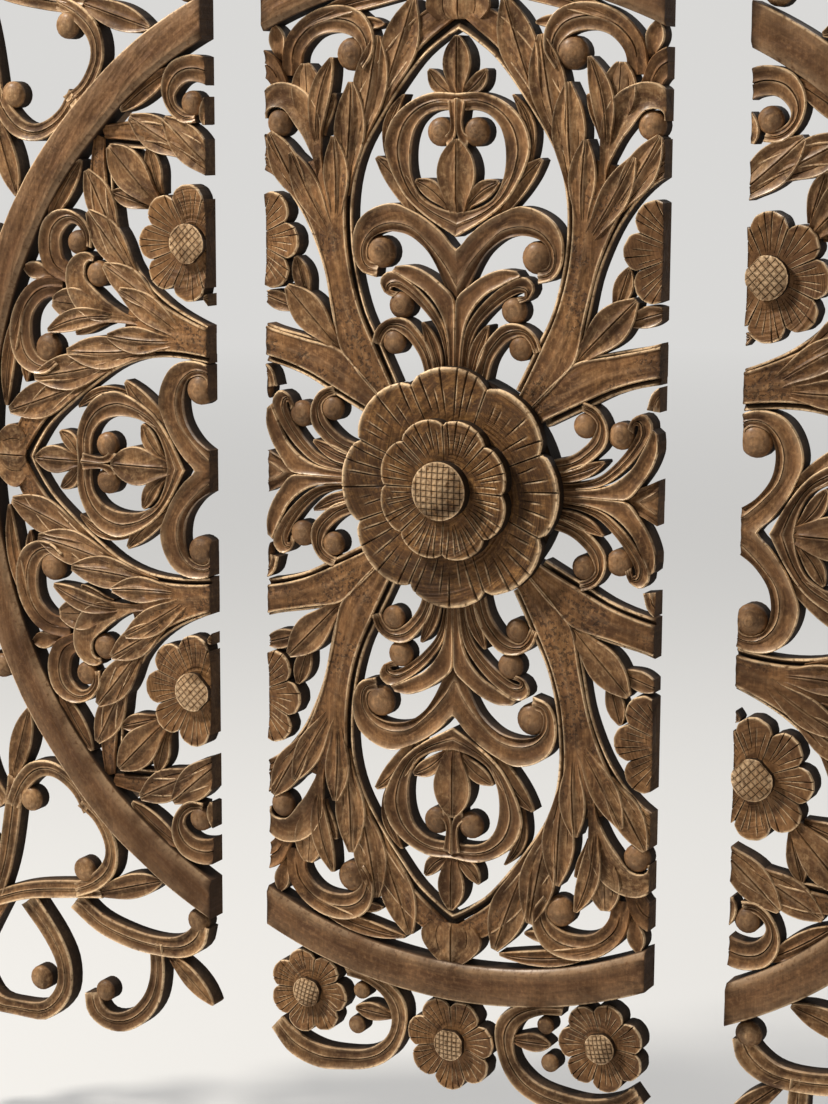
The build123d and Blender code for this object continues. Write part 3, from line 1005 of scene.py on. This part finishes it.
def chisel_mark_group() -> bpy.types.NodeTree:
    """Node group for the long flutes and short scoops that the gouge leaves along its run.

    Returns:
        The group, which gives a height.
    """
    tree, g = new_group("chisel_marks", {"Flow": "Vector", "Flutes": "Float"}, {"Height": "Float"})
    flow, depth = g.add("NodeGroupInput").outputs[:2]
    bent = g.add("ShaderNodeTexNoise", {"Vector": flow, "Scale": 22.0}).outputs[1]
    bent = g.add("ShaderNodeMix", {0: 0.012, 4: flow, 5: bent}, data_type="VECTOR").outputs[1]
    flutes = g.noise(g.stretch(bent, (0.16, 1.0, 1.0)), 120.0, roughness=0.45)
    short = g.stretch(bent, (0.4, 1.0, 1.0))
    scoops = g.add("ShaderNodeTexVoronoi", {"Vector": short, "Scale": 120.0}, feature="F1").outputs[0]
    height = g.maths("ADD", g.maths("MULTIPLY", flutes, depth), g.maths("MULTIPLY", scoops, 0.5))
    g.add("NodeGroupOutput", {"Height": height})
    return tree


class WoodShop:
    """Keeps the shared node groups and the wood materials made so far."""

    def __init__(self) -> None:
        """Build the three shared groups."""
        self.figure = wood_figure_group()
        self.edges = aged_edge_and_painted_light_group()
        self.marks = chisel_mark_group()
        self.made: dict[str, bpy.types.Material] = {}

    def material(self, finish: WoodFinish) -> bpy.types.Material:
        """Wood material for a finish, made once.

        Args:
            finish: Colours and surface of the wood.

        Returns:
            The material.
        """
        if finish.name in self.made:
            return self.made[finish.name]
        material, g = new_material(finish.name)
        place = g.add("ShaderNodeTexCoord").outputs["Object"]
        if finish.grain_along == "X":
            place = g.add("ShaderNodeMapping", {"Vector": place, "Rotation": (0, math.pi / 2, 0)}).outputs[0]
        pit_mask = g.mask("pits")
        flow = g.add("ShaderNodeAttribute", attribute_name="flow").outputs["Vector"]
        figure = g.add("ShaderNodeGroup", {
            "Coordinates": place, "Flow": flow, "Figure Size": finish.figure, "Heart": (*finish.heart, 1),
            "Light": (*finish.light, 1), "Dark": (*finish.dark, 1), "Pore": finish.pore, "Pit Mask": pit_mask},
            node_tree=self.figure)
        edges = g.add("ShaderNodeGroup", {
            "Coordinates": place, "Base": figure.outputs["Colour"], "Worn": (*finish.worn, 1),
            "Wax": (*finish.wax, 1), "Wear": finish.wear, "Roughness": finish.roughness, "Polish": finish.polish},
            node_tree=self.edges)
        marks = g.add("ShaderNodeGroup", {"Flow": flow, "Flutes": finish.flutes}, node_tree=self.marks)
        coarse = g.add("ShaderNodeBump", {"Strength": 0.8, "Distance": 0.0024, "Height": marks.outputs[0]})
        fine = g.add("ShaderNodeBump", {"Strength": 0.6, "Distance": 0.0005, "Height": figure.outputs["Height"],
                                        "Normal": coarse.outputs[0]})
        shader = g.add("ShaderNodeBsdfPrincipled", {
            "Base Color": edges.outputs["Colour"], "Roughness": edges.outputs["Roughness"],
            "Normal": fine.outputs[0], "Coat Weight": edges.outputs["Sheen"], "Coat Roughness": 0.3,
            "Specular IOR Level": 0.15})
        g.add("ShaderNodeOutputMaterial", {"Surface": shader.outputs[0]})
        self.made[finish.name] = material
        return material


SHOP = WoodShop()


def wood(finish: WoodFinish) -> bpy.types.Material:
    """Wood material for a finish."""
    return SHOP.material(finish)


def steel(finish: SteelFinish) -> bpy.types.Material:
    """Plated steel with fine drawn scratches and dulled patches.

    Args:
        finish: Colour and roughness of the steel.

    Returns:
        The material.
    """
    material, g = new_material(finish.name)
    place = g.add("ShaderNodeTexCoord").outputs["Object"]
    lines = g.noise(g.stretch(place, (1, 1, 0.05)), 900.0, 3.0)
    dull = g.noise(place, 90.0, 3.0)
    rough = g.maths("ADD", g.maths("MULTIPLY", dull, 0.25), finish.roughness - 0.1)
    tone = g.blend(g.ramp(dull, 0.4, 0.7), finish.colour, tuple(c * 0.72 for c in finish.colour))
    bump = g.add("ShaderNodeBump", {"Strength": 0.3, "Distance": 0.0002, "Height": lines})
    shader = g.add("ShaderNodeBsdfPrincipled", {"Base Color": tone, "Roughness": rough, "Metallic": 1.0,
                                                "Normal": bump.outputs[0]})
    g.add("ShaderNodeOutputMaterial", {"Surface": shader.outputs[0]})
    return material


ARM_WOOD = WoodFinish("arm_wood", pore=1.4, figure=24.0, flutes=1.0)
LEAF_WOOD = WoodFinish("leaf_wood", heart=(0.280, 0.142, 0.057), light=(0.560, 0.350, 0.175), pore=0.8)
SCROLL_WOOD = WoodFinish("scroll_wood", heart=(0.230, 0.110, 0.042), pore=0.5)
RING_WOOD = WoodFinish("ring_wood", heart=(0.165, 0.080, 0.033), light=(0.290, 0.155, 0.070), pore=0.8, figure=20.0,
                       flutes=0.9)
PETAL_WOOD = WoodFinish("petal_wood", heart=(0.235, 0.112, 0.040), pore=0.4, figure=40.0)
ROSETTE_WOOD = WoodFinish("rosette_wood", heart=(0.150, 0.067, 0.021), light=(0.420, 0.215, 0.072),
                          dark=(0.052, 0.023, 0.009), pore=0.5, figure=36.0, grain_along="X")
BLOCK_WOOD = WoodFinish("block_wood", heart=(0.260, 0.155, 0.080), light=(0.400, 0.260, 0.140),
                        dark=(0.120, 0.070, 0.036), pore=0.5, wear=0.2, roughness=0.68, flutes=0.2)
PLATE_STEEL = SteelFinish("plate_steel")
SCREW_STEEL = SteelFinish("screw_steel", (0.62, 0.60, 0.55), 0.3)


@dataclass
class Arches:
    """The flowing arms of the upright and diagonal arches with their beads."""

    bead_height: float = 16.4
    arm_height: float = 19.8
    body_height: float = 17.4

    def pieces(self) -> list[Piece]:
        """Arms and beads of one eighth of the mandala.

        Returns:
            The two beads, the outer arm and the two bodies under it.
        """
        bead, arm, low = ((h,) * 3 for h in (self.bead_height, self.arm_height, self.body_height))
        upright = [(60, 92), (80, 132), (93, 158), (102, 188), (107, 220), (108, 250), (104, 279), (94, 306),
                   (76, 334), (57, 360), (36, 385), (14, 402), (0, 410)]
        upright_out = [(67, 87), (88, 129), (101, 155), (110, 186), (115, 220), (116, 251), (112, 281),
                       (101, 310), (83, 339), (63, 366), (41, 392), (16, 411), (0, 421)]
        diagonal = [self.slant(d, s) for d, s in (
            (176, -1), (206, -20), (237, -40), (273, -55), (300, -61), (322, -62), (345, -58), (385, -44),
            (410, -24), (430, -5), (436, 0))]
        diagonal_out = [self.slant(d, s) for d, s in (
            (172, -5), (203, -27), (234, -47), (271, -62), (299, -69), (323, -70), (348, -66), (389, -51),
            (416, -30), (440, -9), (448, 0))]
        arm_left = [(58, 78), (66, 90), (84, 126), (98, 156), (108, 188), (113, 220), (114, 252), (110, 288),
                    (104, 306)]
        arm_right = [(78, 78), (96, 96), (119, 119), (128, 158), (137, 196), (146, 222), (158, 248), (172, 272),
                     (182, 284)]
        body_left = [(112, 262), (109, 286), (98, 313), (80, 342), (60, 369), (38, 394), (14, 413), (0, 423)]
        body_right = [(126, 268), (128, 292), (118, 326), (102, 354), (82, 382), (60, 407), (32, 428), (0, 436)]
        slope_left = [self.slant(d, s) for d, s in (
            (273, -60), (300, -67), (323, -68), (348, -64), (389, -49), (416, -28), (448, 0))]
        slope_right = [self.slant(d, s) for d, s in (
            (268, -80), (300, -86), (330, -86), (360, -80), (404, -62), (432, -40), (460, -6))]
        return [
            Strap(first=upright, second=upright_out, cut=Cut.BEAD, level=bead, stations=40, sink_end=MITRED),
            Strap(first=diagonal, second=diagonal_out, cut=Cut.BEAD, level=bead, stations=34, sink_start=MITRED,
                  sink_end=MITRED),
            Strap(first=arm_left, second=arm_right, cut=Cut.ARM, level=arm, stations=40, pits=1.0,
                  sink_start=0.5, sink_end=5.5),
            Strap(first=body_left, second=body_right, cut=Cut.ARM, level=low, stations=30, pits=0.7,
                  sink_start=0.5, sink_end=2.6),
            Strap(first=slope_left, second=slope_right, cut=Cut.ARM, level=low, stations=24, pits=0.7,
                  sink_start=0.5, sink_end=2.6),
        ]

    @staticmethod
    def slant(along: float, aside: float) -> Point:
        """Point given along and aside of the diagonal, as sideways and upright mm."""
        return ((along + aside) / math.sqrt(2), (along - aside) / math.sqrt(2))

    def build(self) -> ReliefGroup:
        """The arches as one relief group."""
        return ReliefGroup("arches", ARM_WOOD, self.pieces(), sag=0.8)


class Foliage:
    """Leaves that grow from the arches, on the axes and on the diagonals."""

    def fronds(self) -> list[Piece]:
        """Leaves along both arches; each grows out of the arm at its foot.

        Returns:
            The leaves of one eighth.
        """
        slant, cut = Arches.slant, Cut.FROND
        return [
            leaf((124, 232), (126, 315), 27, 2, level=FRONT, cut=cut, form=FROND_FORM),
            leaf((116, 262), (108, 364), 33, 2, level=UPPER, cut=cut, form=FROND_FORM),
            leaf((103, 302), (81, 405), 36, 2, level=MIDDLE, cut=cut, form=FROND_FORM),
            leaf((80, 340), (45, 437), 37, 1, level=LOWER, form=FROND_FORM),
            leaf(slant(244, -68), slant(334, -91), 28, -2, level=FRONT, form=FROND_FORM),
            leaf(slant(280, -70), slant(363, -87), 31, -2, level=UPPER, cut=cut, form=FROND_FORM),
            leaf(slant(322, -71), slant(412, -63), 35, -1, level=MIDDLE, cut=cut, form=FROND_FORM),
            leaf(slant(362, -62), slant(441, -36), 33, -1, level=LOWER, cut=cut, form=FROND_FORM),
        ]

    def axis_leaves(self) -> list[Piece]:
        """Leaves on the upright axis and round the heart.

        Returns:
            The leaves of one eighth or quarter.
        """
        quarter = Repeat.QUARTERS
        return [
            leaf((0, 419), (0, 462), 64, repeat=quarter, level=UPPER, cut=Cut.FROND, form=SHIELD_FORM, sink=1.5),
            leaf((0, 350), (0, 405), 28, repeat=quarter, level=FRONT),
            leaf((3, 352), (29, 375), 16, -3, level=LOWER, sink=2.0),
            leaf((0, 246), (0, 314), 39, repeat=quarter, level=FRONT),
            leaf((8, 252), (42, 277), 17, 3, level=LOWER, sink=2.0),
            leaf((34, 234), (83, 297), 22, 5, level=BACK), leaf((70, 290), (54, 353), 12, -9, level=BACK),
        ]

    def sprigs(self) -> list[Piece]:
        """Leaves with side lobes on either side of the flower on a diagonal.

        Returns:
            The leaves and their lobes.
        """
        slant, quarter = Arches.slant, Repeat.QUARTERS
        return [
            self.turned(leaf((0, 168), (0, 250), 34, repeat=quarter, level=FRONT, form=FROND_FORM)),
            self.turned(leaf((0, 362), (0, 438), 38, repeat=quarter, level=FRONT)),
            leaf(slant(226, -6), slant(264, -26), 19, level=BACK),
            leaf(slant(366, -8), slant(406, -30), 19, level=BACK),
        ]

    def acanthus(self) -> list[Piece]:
        """Forked trunk with its lobes and the curl that holds a ball.

        Returns:
            The trunk and its leaves.
        """
        trunk = Strap(
            first=[(136, 268), (139, 298), (139, 318), (141, 334), (150, 350), (164, 360), (180, 364), (195, 361),
                   (205, 350), (207, 338), (203, 330)],
            second=[(144, 268), (147, 290), (153, 303), (160, 315), (168, 325), (174, 333), (180, 339), (187, 341),
                    (194, 340), (198, 336), (198, 331)], cut=Cut.STUB, stations=34, sink_start=2.5, pits=0.5,
            level=MIDDLE)
        return [
            trunk, leaf((154, 334), (157, 381), 33, cut=Cut.LOBE, level=LOWER, form=BLUNT_FORM, sink=2.0),
            leaf((144, 304), (128, 386), 22, -6, level=FRONT, sink=4.5),
            leaf((139, 316), (126, 354), 14, -3, level=BACK, sink=1.2),
        ]

    @staticmethod
    def turned(strap: Strap) -> Strap:
        """Strap drawn on the upright axis, turned onto the diagonal.

        Args:
            strap: The drawn strap, which is changed.

        Returns:
            The same strap.
        """
        strap.first = [Arches.slant(z, x) for x, z in strap.first]
        strap.second = [Arches.slant(z, x) for x, z in strap.second]
        return strap

    def build(self) -> ReliefGroup:
        """The leaves as one relief group."""
        return ReliefGroup("foliage", LEAF_WOOD, self.fronds() + self.axis_leaves() + self.sprigs() + self.acanthus())


class Scrollwork:
    """Heart, volutes, stems and curls with their balls."""

    def heart(self) -> list[Piece]:
        """Heart scroll, with the two strands that carry its balls.

        Returns:
            The scroll, a strand and its ball.
        """
        return [
            Strap(first=[(0, 354), (22, 355), (40, 350), (55, 341), (67, 328), (73, 310), (70, 294), (62, 277),
                         (50, 260), (30, 244), (0, 227)],
                  second=[(0, 338), (16, 339), (29, 336), (40, 327), (46, 314), (48, 298), (46, 281), (39, 266),
                          (30, 258), (16, 252), (0, 249)], stations=40, sink_start=MITRED, sink_end=MITRED),
            Strap(first=[(0, 350), (0, 336), (0, 322), (3, 312), (10, 306)],
                  second=[(9, 347), (7, 337), (6, 327), (8, 320), (12, 317)], cut=Cut.STUB, stations=16,
                  level=(20.7, 20.7, 19.5)),
            ball(18, 320, 13),
        ]

    def volutes(self) -> list[Piece]:
        """Trunk that parts into the two V shapes, and the small curl at the hub.

        Returns:
            The scrolls, their leaf and their balls.
        """
        return [
            Strap(first=[(0, 216), (5, 220), (14, 230), (30, 242), (46, 250), (64, 256), (83, 252), (99, 241),
                         (106, 225), (105, 206), (97, 193), (82, 188)],
                  second=[(0, 150), (5, 166), (14, 187), (22, 203), (31, 215), (46, 226), (62, 230), (76, 229),
                          (87, 224), (92, 213), (91, 205), (87, 202), (80, 202)], stations=44, sink_start=MITRED,
                  level=(19.2, 20.8, 20.2)),
            Strap(first=[(0, 92), (0, 130), (0, 158), (2, 173), (14, 184), (29, 194), (46, 200), (61, 199)],
                  second=[(5, 92), (6, 120), (10, 146), (18, 163), (30, 176), (42, 183), (54, 189), (65, 194)],
                  stations=36, level=(20.4, 20.9, 20.6), cut=Cut.STUB),
            Strap(first=[(4, 92), (6, 120), (11, 146), (24, 165), (40, 180), (54, 189), (68, 194), (78, 186),
                         (74, 175), (64, 170)],
                  second=[(10, 92), (12, 120), (19, 142), (32, 158), (46, 170), (57, 177), (65, 180), (68, 178),
                          (66, 176), (60, 175)], stations=38, level=(19.6, 19.6, 19.2)),
            Strap(first=[(17, 90), (24, 122), (37, 141), (50, 151), (66, 151), (80, 142), (86, 128)],
                  second=[(30, 90), (36, 114), (46, 129), (56, 137), (66, 140), (73, 134), (77, 125)], stations=26),
            leaf((14, 92), (33, 149), 14, 3),
            ball(79, 211, 15), ball(57, 163, 12.5), ball(64, 129, 11.5),
        ]

    def field_scrolls(self) -> list[Piece]:
        """Scrolls between the leaves and the ring.

        Returns:
            The scrolls, their leaves and their balls.
        """
        return [
            Strap(first=[(183, 370), (178, 400), (161, 420), (138, 431), (114, 432), (95, 424), (85, 408),
                         (85, 390), (95, 375)],
                  second=[(161, 370), (160, 388), (150, 401), (138, 407), (122, 408), (110, 405), (102, 399),
                          (98, 391), (102, 383)], stations=34, sink_start=2.5),
            leaf((170, 408), (50, 440), 17, -9, level=LOWER), leaf((110, 418), (75, 415), 11, cut=Cut.STUB, level=BACK),
            Strap(first=[(174, 360), (185, 384), (202, 394), (219, 395), (236, 389), (246, 376), (248, 360),
                         (241, 343), (227, 332), (211, 332)],
                  second=[(190, 352), (199, 366), (212, 370), (222, 369), (230, 363), (234, 356), (232, 349),
                          (226, 344), (220, 342), (213, 342)], stations=34, sink_start=2.0),
            leaf((232, 384), (296, 343), 21, 2, level=LOWER),
            leaf((184, 384), (190, 416), 18, cut=Cut.STUB, level=BACK),
            ball(186, 327, 13), ball(110, 389, 15), ball(216, 350, 12),
        ]

    def build(self) -> ReliefGroup:
        """The inner scrollwork as one relief group."""
        return ReliefGroup("scrollwork", SCROLL_WOOD, self.heart() + self.volutes() + self.field_scrolls())


class Border:
    """Foliage outside the ring."""

    def scrolls(self) -> list[Piece]:
        """Scrolls, stems and scallops from the middle of an edge to the corner.

        Returns:
            The scrolls, their leaves and their balls.
        """
        return [
            Strap(first=[(118, 474), (90, 479), (64, 489), (49, 505), (47, 525), (54, 549), (67, 567), (88, 579),
                         (114, 585), (146, 589), (178, 580), (199, 558)],
                  second=[(114, 490), (94, 493), (77, 502), (68, 514), (65, 528), (69, 542), (79, 553), (93, 561),
                          (114, 565), (144, 566), (170, 558), (188, 545)], stations=48),
            leaf((62, 522), (104, 520), 18, level=LOWER), ball(98, 502, 8.5), ball(103, 538, 9),
            Strap(first=[(374, 466), (340, 487), (300, 498), (262, 500), (232, 496), (212, 482), (206, 462)],
                  second=[(362, 450), (336, 468), (300, 478), (270, 481), (248, 478), (232, 468), (224, 458)],
                  stations=28),
            leaf((258, 492), (201, 541), 20), ball(220, 456, 12.5),
            Strap(first=[(262, 488), (260, 520), (266, 550), (283, 573), (308, 588), (334, 589), (354, 576),
                         (358, 556)],
                  second=[(279, 488), (278, 520), (284, 542), (298, 560), (315, 570), (330, 571), (338, 563),
                          (340, 553)], stations=28),
            ball(334, 550, 11),
            Strap(first=[(352, 345), (332, 360), (318, 380), (313, 400), (319, 423), (338, 441), (366, 454)],
                  second=[(364, 357), (346, 368), (334, 384), (330, 399), (335, 413), (349, 427), (370, 439)],
                  stations=26),
            leaf((344, 446), (260, 420), 26), ball(358, 424, 13),
            Strap(first=[(334, 450), (376, 456), (430, 466), (480, 484)],
                  second=[(342, 434), (380, 438), (430, 448), (484, 468)], stations=22),
            Strap(first=[(418, 460), (388, 498), (374, 530), (378, 566), (408, 594), (450, 597), (484, 594),
                         (502, 560)],
                  second=[(438, 474), (408, 508), (394, 534), (396, 556), (414, 576), (446, 580), (470, 577),
                          (486, 556)], stations=32),
            ball(416, 551, 13),
        ]

    def build(self) -> ReliefGroup:
        """The border as one relief group.

        Returns:
            The scrolls and the corner leaf.
        """
        corner = Foliage.turned(leaf((0, 648), (0, 828), 66, repeat=Repeat.QUARTERS))
        corner.stations = 26
        return ReliefGroup("border", LEAF_WOOD, self.scrolls() + [corner])


@dataclass
class Flowers:
    """Carved flowers on the diagonals and in the border."""

    diagonal_reach: float = 310.0
    edge_reach: float = 537.0
    side_place: Point = (156.0, 512.0)
    side_turn: float = 13.0

    def bloom(self, place: Point, radius: float, button: float, petals: int, turn: float, repeat: Repeat,
              seed: int) -> list[Piece]:
        """One flower: a petal disc and its hatched button.

        Args:
            place: Middle of the flower, in mm.
            radius: Reach of the petals, in mm.
            button: Radius of the button, in mm.
            petals: Number of petals.
            turn: Angle of the first petal, in degrees.
            repeat: How often the flower comes back.
            seed: Seed of its chisel strokes.

        Returns:
            The disc and the button.
        """
        x, z = place
        return [
            PetalDisc(repeat, x, z, radius, petals, turn, notch=radius * 0.25, top=20.7, foot=0.0, dish=4.6, rays=4,
                      inner=button / radius * 0.7, seam_from=0.36, ray_from=0.46, seed=seed),
            HatchedButton(repeat, x, z, button, top=25.6, foot=14.0, pitch=button / 3.4, dome=1.8, depth=1.2,
                          turn=turn - 90, facets=20),
        ]

    def build(self) -> ReliefGroup:
        """All flowers as one relief group.

        Returns:
            The flowers of the diagonals and the border.
        """
        slanted = Arches.slant(self.diagonal_reach, 0)
        pieces = self.bloom(slanted, 56, 19, 8, 45, Repeat.QUARTERS, 3)
        pieces += self.bloom((0, self.edge_reach), 46, 15, 7, 90, Repeat.QUARTERS, 5)
        pieces += self.bloom(self.side_place, 43, 14.5, 7, 90 - self.side_turn, Repeat.EIGHTHS, 8)
        return ReliefGroup("flowers", PETAL_WOOD, pieces)


@dataclass
class Ring:
    """The plain ring and the hub that carries the rosette."""

    inner: float = 456.0
    outer: float = 492.0
    height: float = 24.8
    chamfer: float = 4.5
    hub: float = 104.0

    def build(self) -> ReliefGroup:
        """Ring and hub as one relief group.

        Returns:
            The ring's band and the hub's disc.
        """
        h, r, s = self.height, self.inner, self.outer
        # Third values: wear with a painted highlight; fourth: wax with painted shade, darkest on the walls and at the
        # hub's edge under the rosette.
        band = ((r, 0, 0, 1), (r, h - 8, 0, 0.9), (r, h - 4.2, 0.1, 0.4), (r + 0.8, h - 3.4, 0.4, 0),
                (r + self.chamfer, h - 0.3, 0.25, 0), (r + self.chamfer + 1.6, h, 0.2, 0),
                ((r + s) / 2 - 4, h - 0.5, 0, 0), ((r + s) / 2 + 6, h - 0.2, 0.1, 0), (s - 2.4, h, 0.2, 0),
                (s - 0.8, h - 0.6, 0.9, 0), (s, h - 2.0, 0.6, 0.2), (s, h - 5, 0, 0.8), (s, 0, 0, 1), (r, 0, 0, 1))
        disc = ((0, 20.6, 0, 0.3), (60, 20.6, 0, 0.5), (self.hub - 2, 20.6, 0, 0.8), (self.hub, 19.6, 0, 1),
                (self.hub, 0, 0, 1), (0, 0, 0, 1))
        pieces = [Turned(Repeat.ONCE, 0, 0, band, steps=240), Turned(Repeat.ONCE, 0, 0, disc, steps=72)]
        return ReliefGroup("ring", RING_WOOD, pieces, sag=0.6, drift=1.2)


@dataclass
class Rosette:
    """The applied rosette: two petal discs and the hatched button."""

    radius: float = 111.0
    inner_radius: float = 66.0
    button_radius: float = 26.8
    board: float = 21.0
    outer_thickness: float = 12.0
    inner_thickness: float = 11.0
    button_height: float = 10.0

    def build(self) -> list[bpy.types.Object]:
        """Make the three shown pieces of the rosette.

        Returns:
            The new objects.
        """
        middle = self.board + self.outer_thickness
        front = middle + self.inner_thickness
        plan = (
            ("rosette_outer_petals",
             PetalDisc(Repeat.ONCE, radius=self.radius, petals=8, turn=90, notch=12.5, top=middle - 0.2,
                       foot=self.board, dish=6.0, rays=6, inner=0.1, seam_from=0.62, ray_from=0.66, seed=11,
                       stroke=1.7)),
            ("rosette_inner_petals",
             PetalDisc(Repeat.ONCE, radius=self.inner_radius, petals=8, turn=112.5, notch=7.5, top=front - 0.2,
                       foot=middle - 6, dish=5.0, rays=6, inner=0.12, seam_from=0.5, ray_from=0.54, seed=12,
                       stroke=1.35)),
            ("rosette_button",
             HatchedButton(Repeat.ONCE, radius=self.button_radius, top=front + self.button_height, foot=front - 5,
                           pitch=5.6, dome=2.4, depth=1.5, turn=0, facets=40)),
        )
        made = []
        for name, shape in plan:
            group = ReliefGroup(name, ROSETTE_WOOD, [shape], sag=0.4, drift=0.6)
            bm = bmesh.new()
            mask_layers(bm)
            flow_layer(bm)
            bm.from_mesh(shape.mesh())
            group.hand_waver(bm)
            piece = finish_object(bm, f"carved_{name}")
            piece.data.materials.append(wood(ROSETTE_WOOD))
            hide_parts(name)
            made.append(piece)
        return made


class Hardware:
    """Blocks, dowel, hanger plates and screws, which keep their CAD shapes."""

    def dress(self) -> None:
        """Give every shown CAD node its finish."""
        block, plate, screw = wood(BLOCK_WOOD), steel(PLATE_STEEL), steel(SCREW_STEEL)
        for name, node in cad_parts.items():
            if name.endswith("_carved_panel") or node.hide_render:
                continue
            finish = plate if name == "hanger_plates" else screw if name == "hanger_screws" else block
            node.data.materials.clear()
            node.data.materials.append(finish)
            log.info("%s: dressed with %s", name, finish.name)


def seen_directly(g: Graph) -> bpy.types.NodeSocket:
    """Mask of the rays that show the surround: camera, glossy and transmission rays.

    Args:
        g: Graph that takes the nodes.

    Returns:
        1 for such a ray, else 0.
    """
    rays = g.add("ShaderNodeLightPath").outputs
    passed_on = g.maths("MAXIMUM", rays["Is Glossy Ray"], rays["Is Transmission Ray"])
    return g.maths("MAXIMUM", rays["Is Camera Ray"], passed_on)


@dataclass
class Studio:
    """Pale floor, soft lamps and the camera."""

    floor_height: float = -0.74
    surround: float = 0.74
    ambient: float = 0.17
    lens: float = 80.71
    place: tuple[float, float, float] = (1.0121, -2.0345, 0.3461)
    yaw: float = 27.80
    pitch: float = 10.30
    roll: float = -0.226

    def floor(self) -> None:
        """Pale floor that keeps the set's shadow."""
        bm = bmesh.new()
        bmesh.ops.create_grid(bm, x_segments=1, y_segments=1, size=14)
        bmesh.ops.translate(bm, verts=bm.verts[:], vec=(0, 0, self.floor_height))
        mesh = bpy.data.meshes.new("floor")
        bm.to_mesh(mesh)
        bm.free()
        slab = bpy.data.objects.new("floor", mesh)
        bpy.context.scene.collection.objects.link(slab)
        material = bpy.data.materials.new("pale_floor")
        material.use_nodes = True
        shader = material.node_tree.nodes["Principled BSDF"]
        shader.inputs["Base Color"].default_value = (0.86, 0.85, 0.83, 1)
        shader.inputs["Roughness"].default_value = 0.9
        g = Graph(material.node_tree)
        place = g.add("ShaderNodeTexCoord").outputs["Object"]
        away = g.add("ShaderNodeVectorMath", {0: place}, operation="LENGTH").outputs["Value"]
        share = g.maths("ADD", g.maths("MULTIPLY", g.ramp(away, 2.0, 9.0), 0.4), 0.6)
        glow = g.add("ShaderNodeEmission", {"Color": PALE, "Strength": self.surround})
        mix = g.add("ShaderNodeMixShader", {0: g.maths("MULTIPLY", seen_directly(g), share), 1: shader.outputs[0],
                                            2: glow.outputs[0]})
        g.tree.links.new(mix.outputs[0], material.node_tree.nodes["Material Output"].inputs["Surface"])
        mesh.materials.append(material)

    def backdrop(self) -> None:
        """Even pale surround that lights the set gently."""
        world = bpy.data.worlds.new("studio")
        bpy.context.scene.world = world
        world.use_nodes = True
        g = Graph(world.node_tree)
        g.tree.nodes.clear()
        strength = g.maths("MULTIPLY", seen_directly(g), self.surround - self.ambient)
        strength = g.maths("ADD", strength, self.ambient)
        shade = g.add("ShaderNodeBackground", {"Color": PALE, "Strength": strength})
        g.add("ShaderNodeOutputWorld", {"Surface": shade.outputs[0]})

    def lamp(self, name: str, place: Sequence[float], size: float, power: float,
             colour: tuple[float, float, float] = (1, 1, 1)) -> None:
        """Square soft lamp aimed at the origin.

        Args:
            name: Name of the lamp.
            place: Where it stands, in metres.
            size: Side of its square, in metres.
            power: Power in watts.
            colour: Linear colour of its light.
        """
        light = bpy.data.lights.new(name, "AREA")
        light.size, light.energy, light.color = size, power, colour
        lamp = bpy.data.objects.new(name, light)
        lamp.location = place
        lamp.rotation_euler = (-Vector(place)).to_track_quat("-Z", "Y").to_euler()
        bpy.context.scene.collection.objects.link(lamp)

    def camera(self) -> None:
        """Camera at the viewing angle, a little right of and above the middle."""
        yaw, pitch = math.radians(self.yaw), math.radians(self.pitch)
        ahead = Vector((-math.sin(yaw) * math.cos(pitch), math.cos(yaw) * math.cos(pitch), -math.sin(pitch)))
        right = Vector((math.cos(yaw), math.sin(yaw), 0))
        up = right.cross(ahead)
        turn = Matrix.Rotation(math.radians(self.roll), 3, ahead)
        right, up = turn @ right, turn @ up
        data = bpy.data.cameras.new("camera")
        data.lens, data.sensor_width, data.sensor_fit = self.lens, 36, "AUTO"
        data.clip_start, data.clip_end = 0.05, 60
        camera = bpy.data.objects.new("camera", data)
        camera.matrix_world = Matrix((
            (right.x, up.x, -ahead.x, self.place[0]), (right.y, up.y, -ahead.y, self.place[1]),
            (right.z, up.z, -ahead.z, self.place[2]), (0, 0, 0, 1)))
        bpy.context.scene.collection.objects.link(camera)
        bpy.context.scene.camera = camera

    def build(self) -> None:
        """Set up the whole studio."""
        bpy.context.scene.view_settings.view_transform = "Standard"
        self.floor()
        self.backdrop()
        self.lamp("key", (-1.9, -1.2, 2.3), size=0.35, power=168, colour=(1.0, 0.955, 0.88))
        self.lamp("fill", (2.4, -2.6, 0.6), size=2.0, power=8, colour=(1.0, 0.97, 0.93))
        self.lamp("back", (0.4, 2.2, 1.6), size=1.6, power=26)
        self.camera()


def main() -> None:
    """Build the carving, the rosette, the hardware and the studio."""
    logging.basicConfig(level=logging.INFO, format="%(message)s")
    for part in (Ring(), Arches(), Foliage(), Scrollwork(), Border(), Flowers()):
        for piece in part.build().build():
            log.info("built %s", piece.name)
    for piece in Rosette().build():
        log.info("built %s", piece.name)
    Hardware().dress()
    Studio().build()


if __name__ == "__main__":
    main()
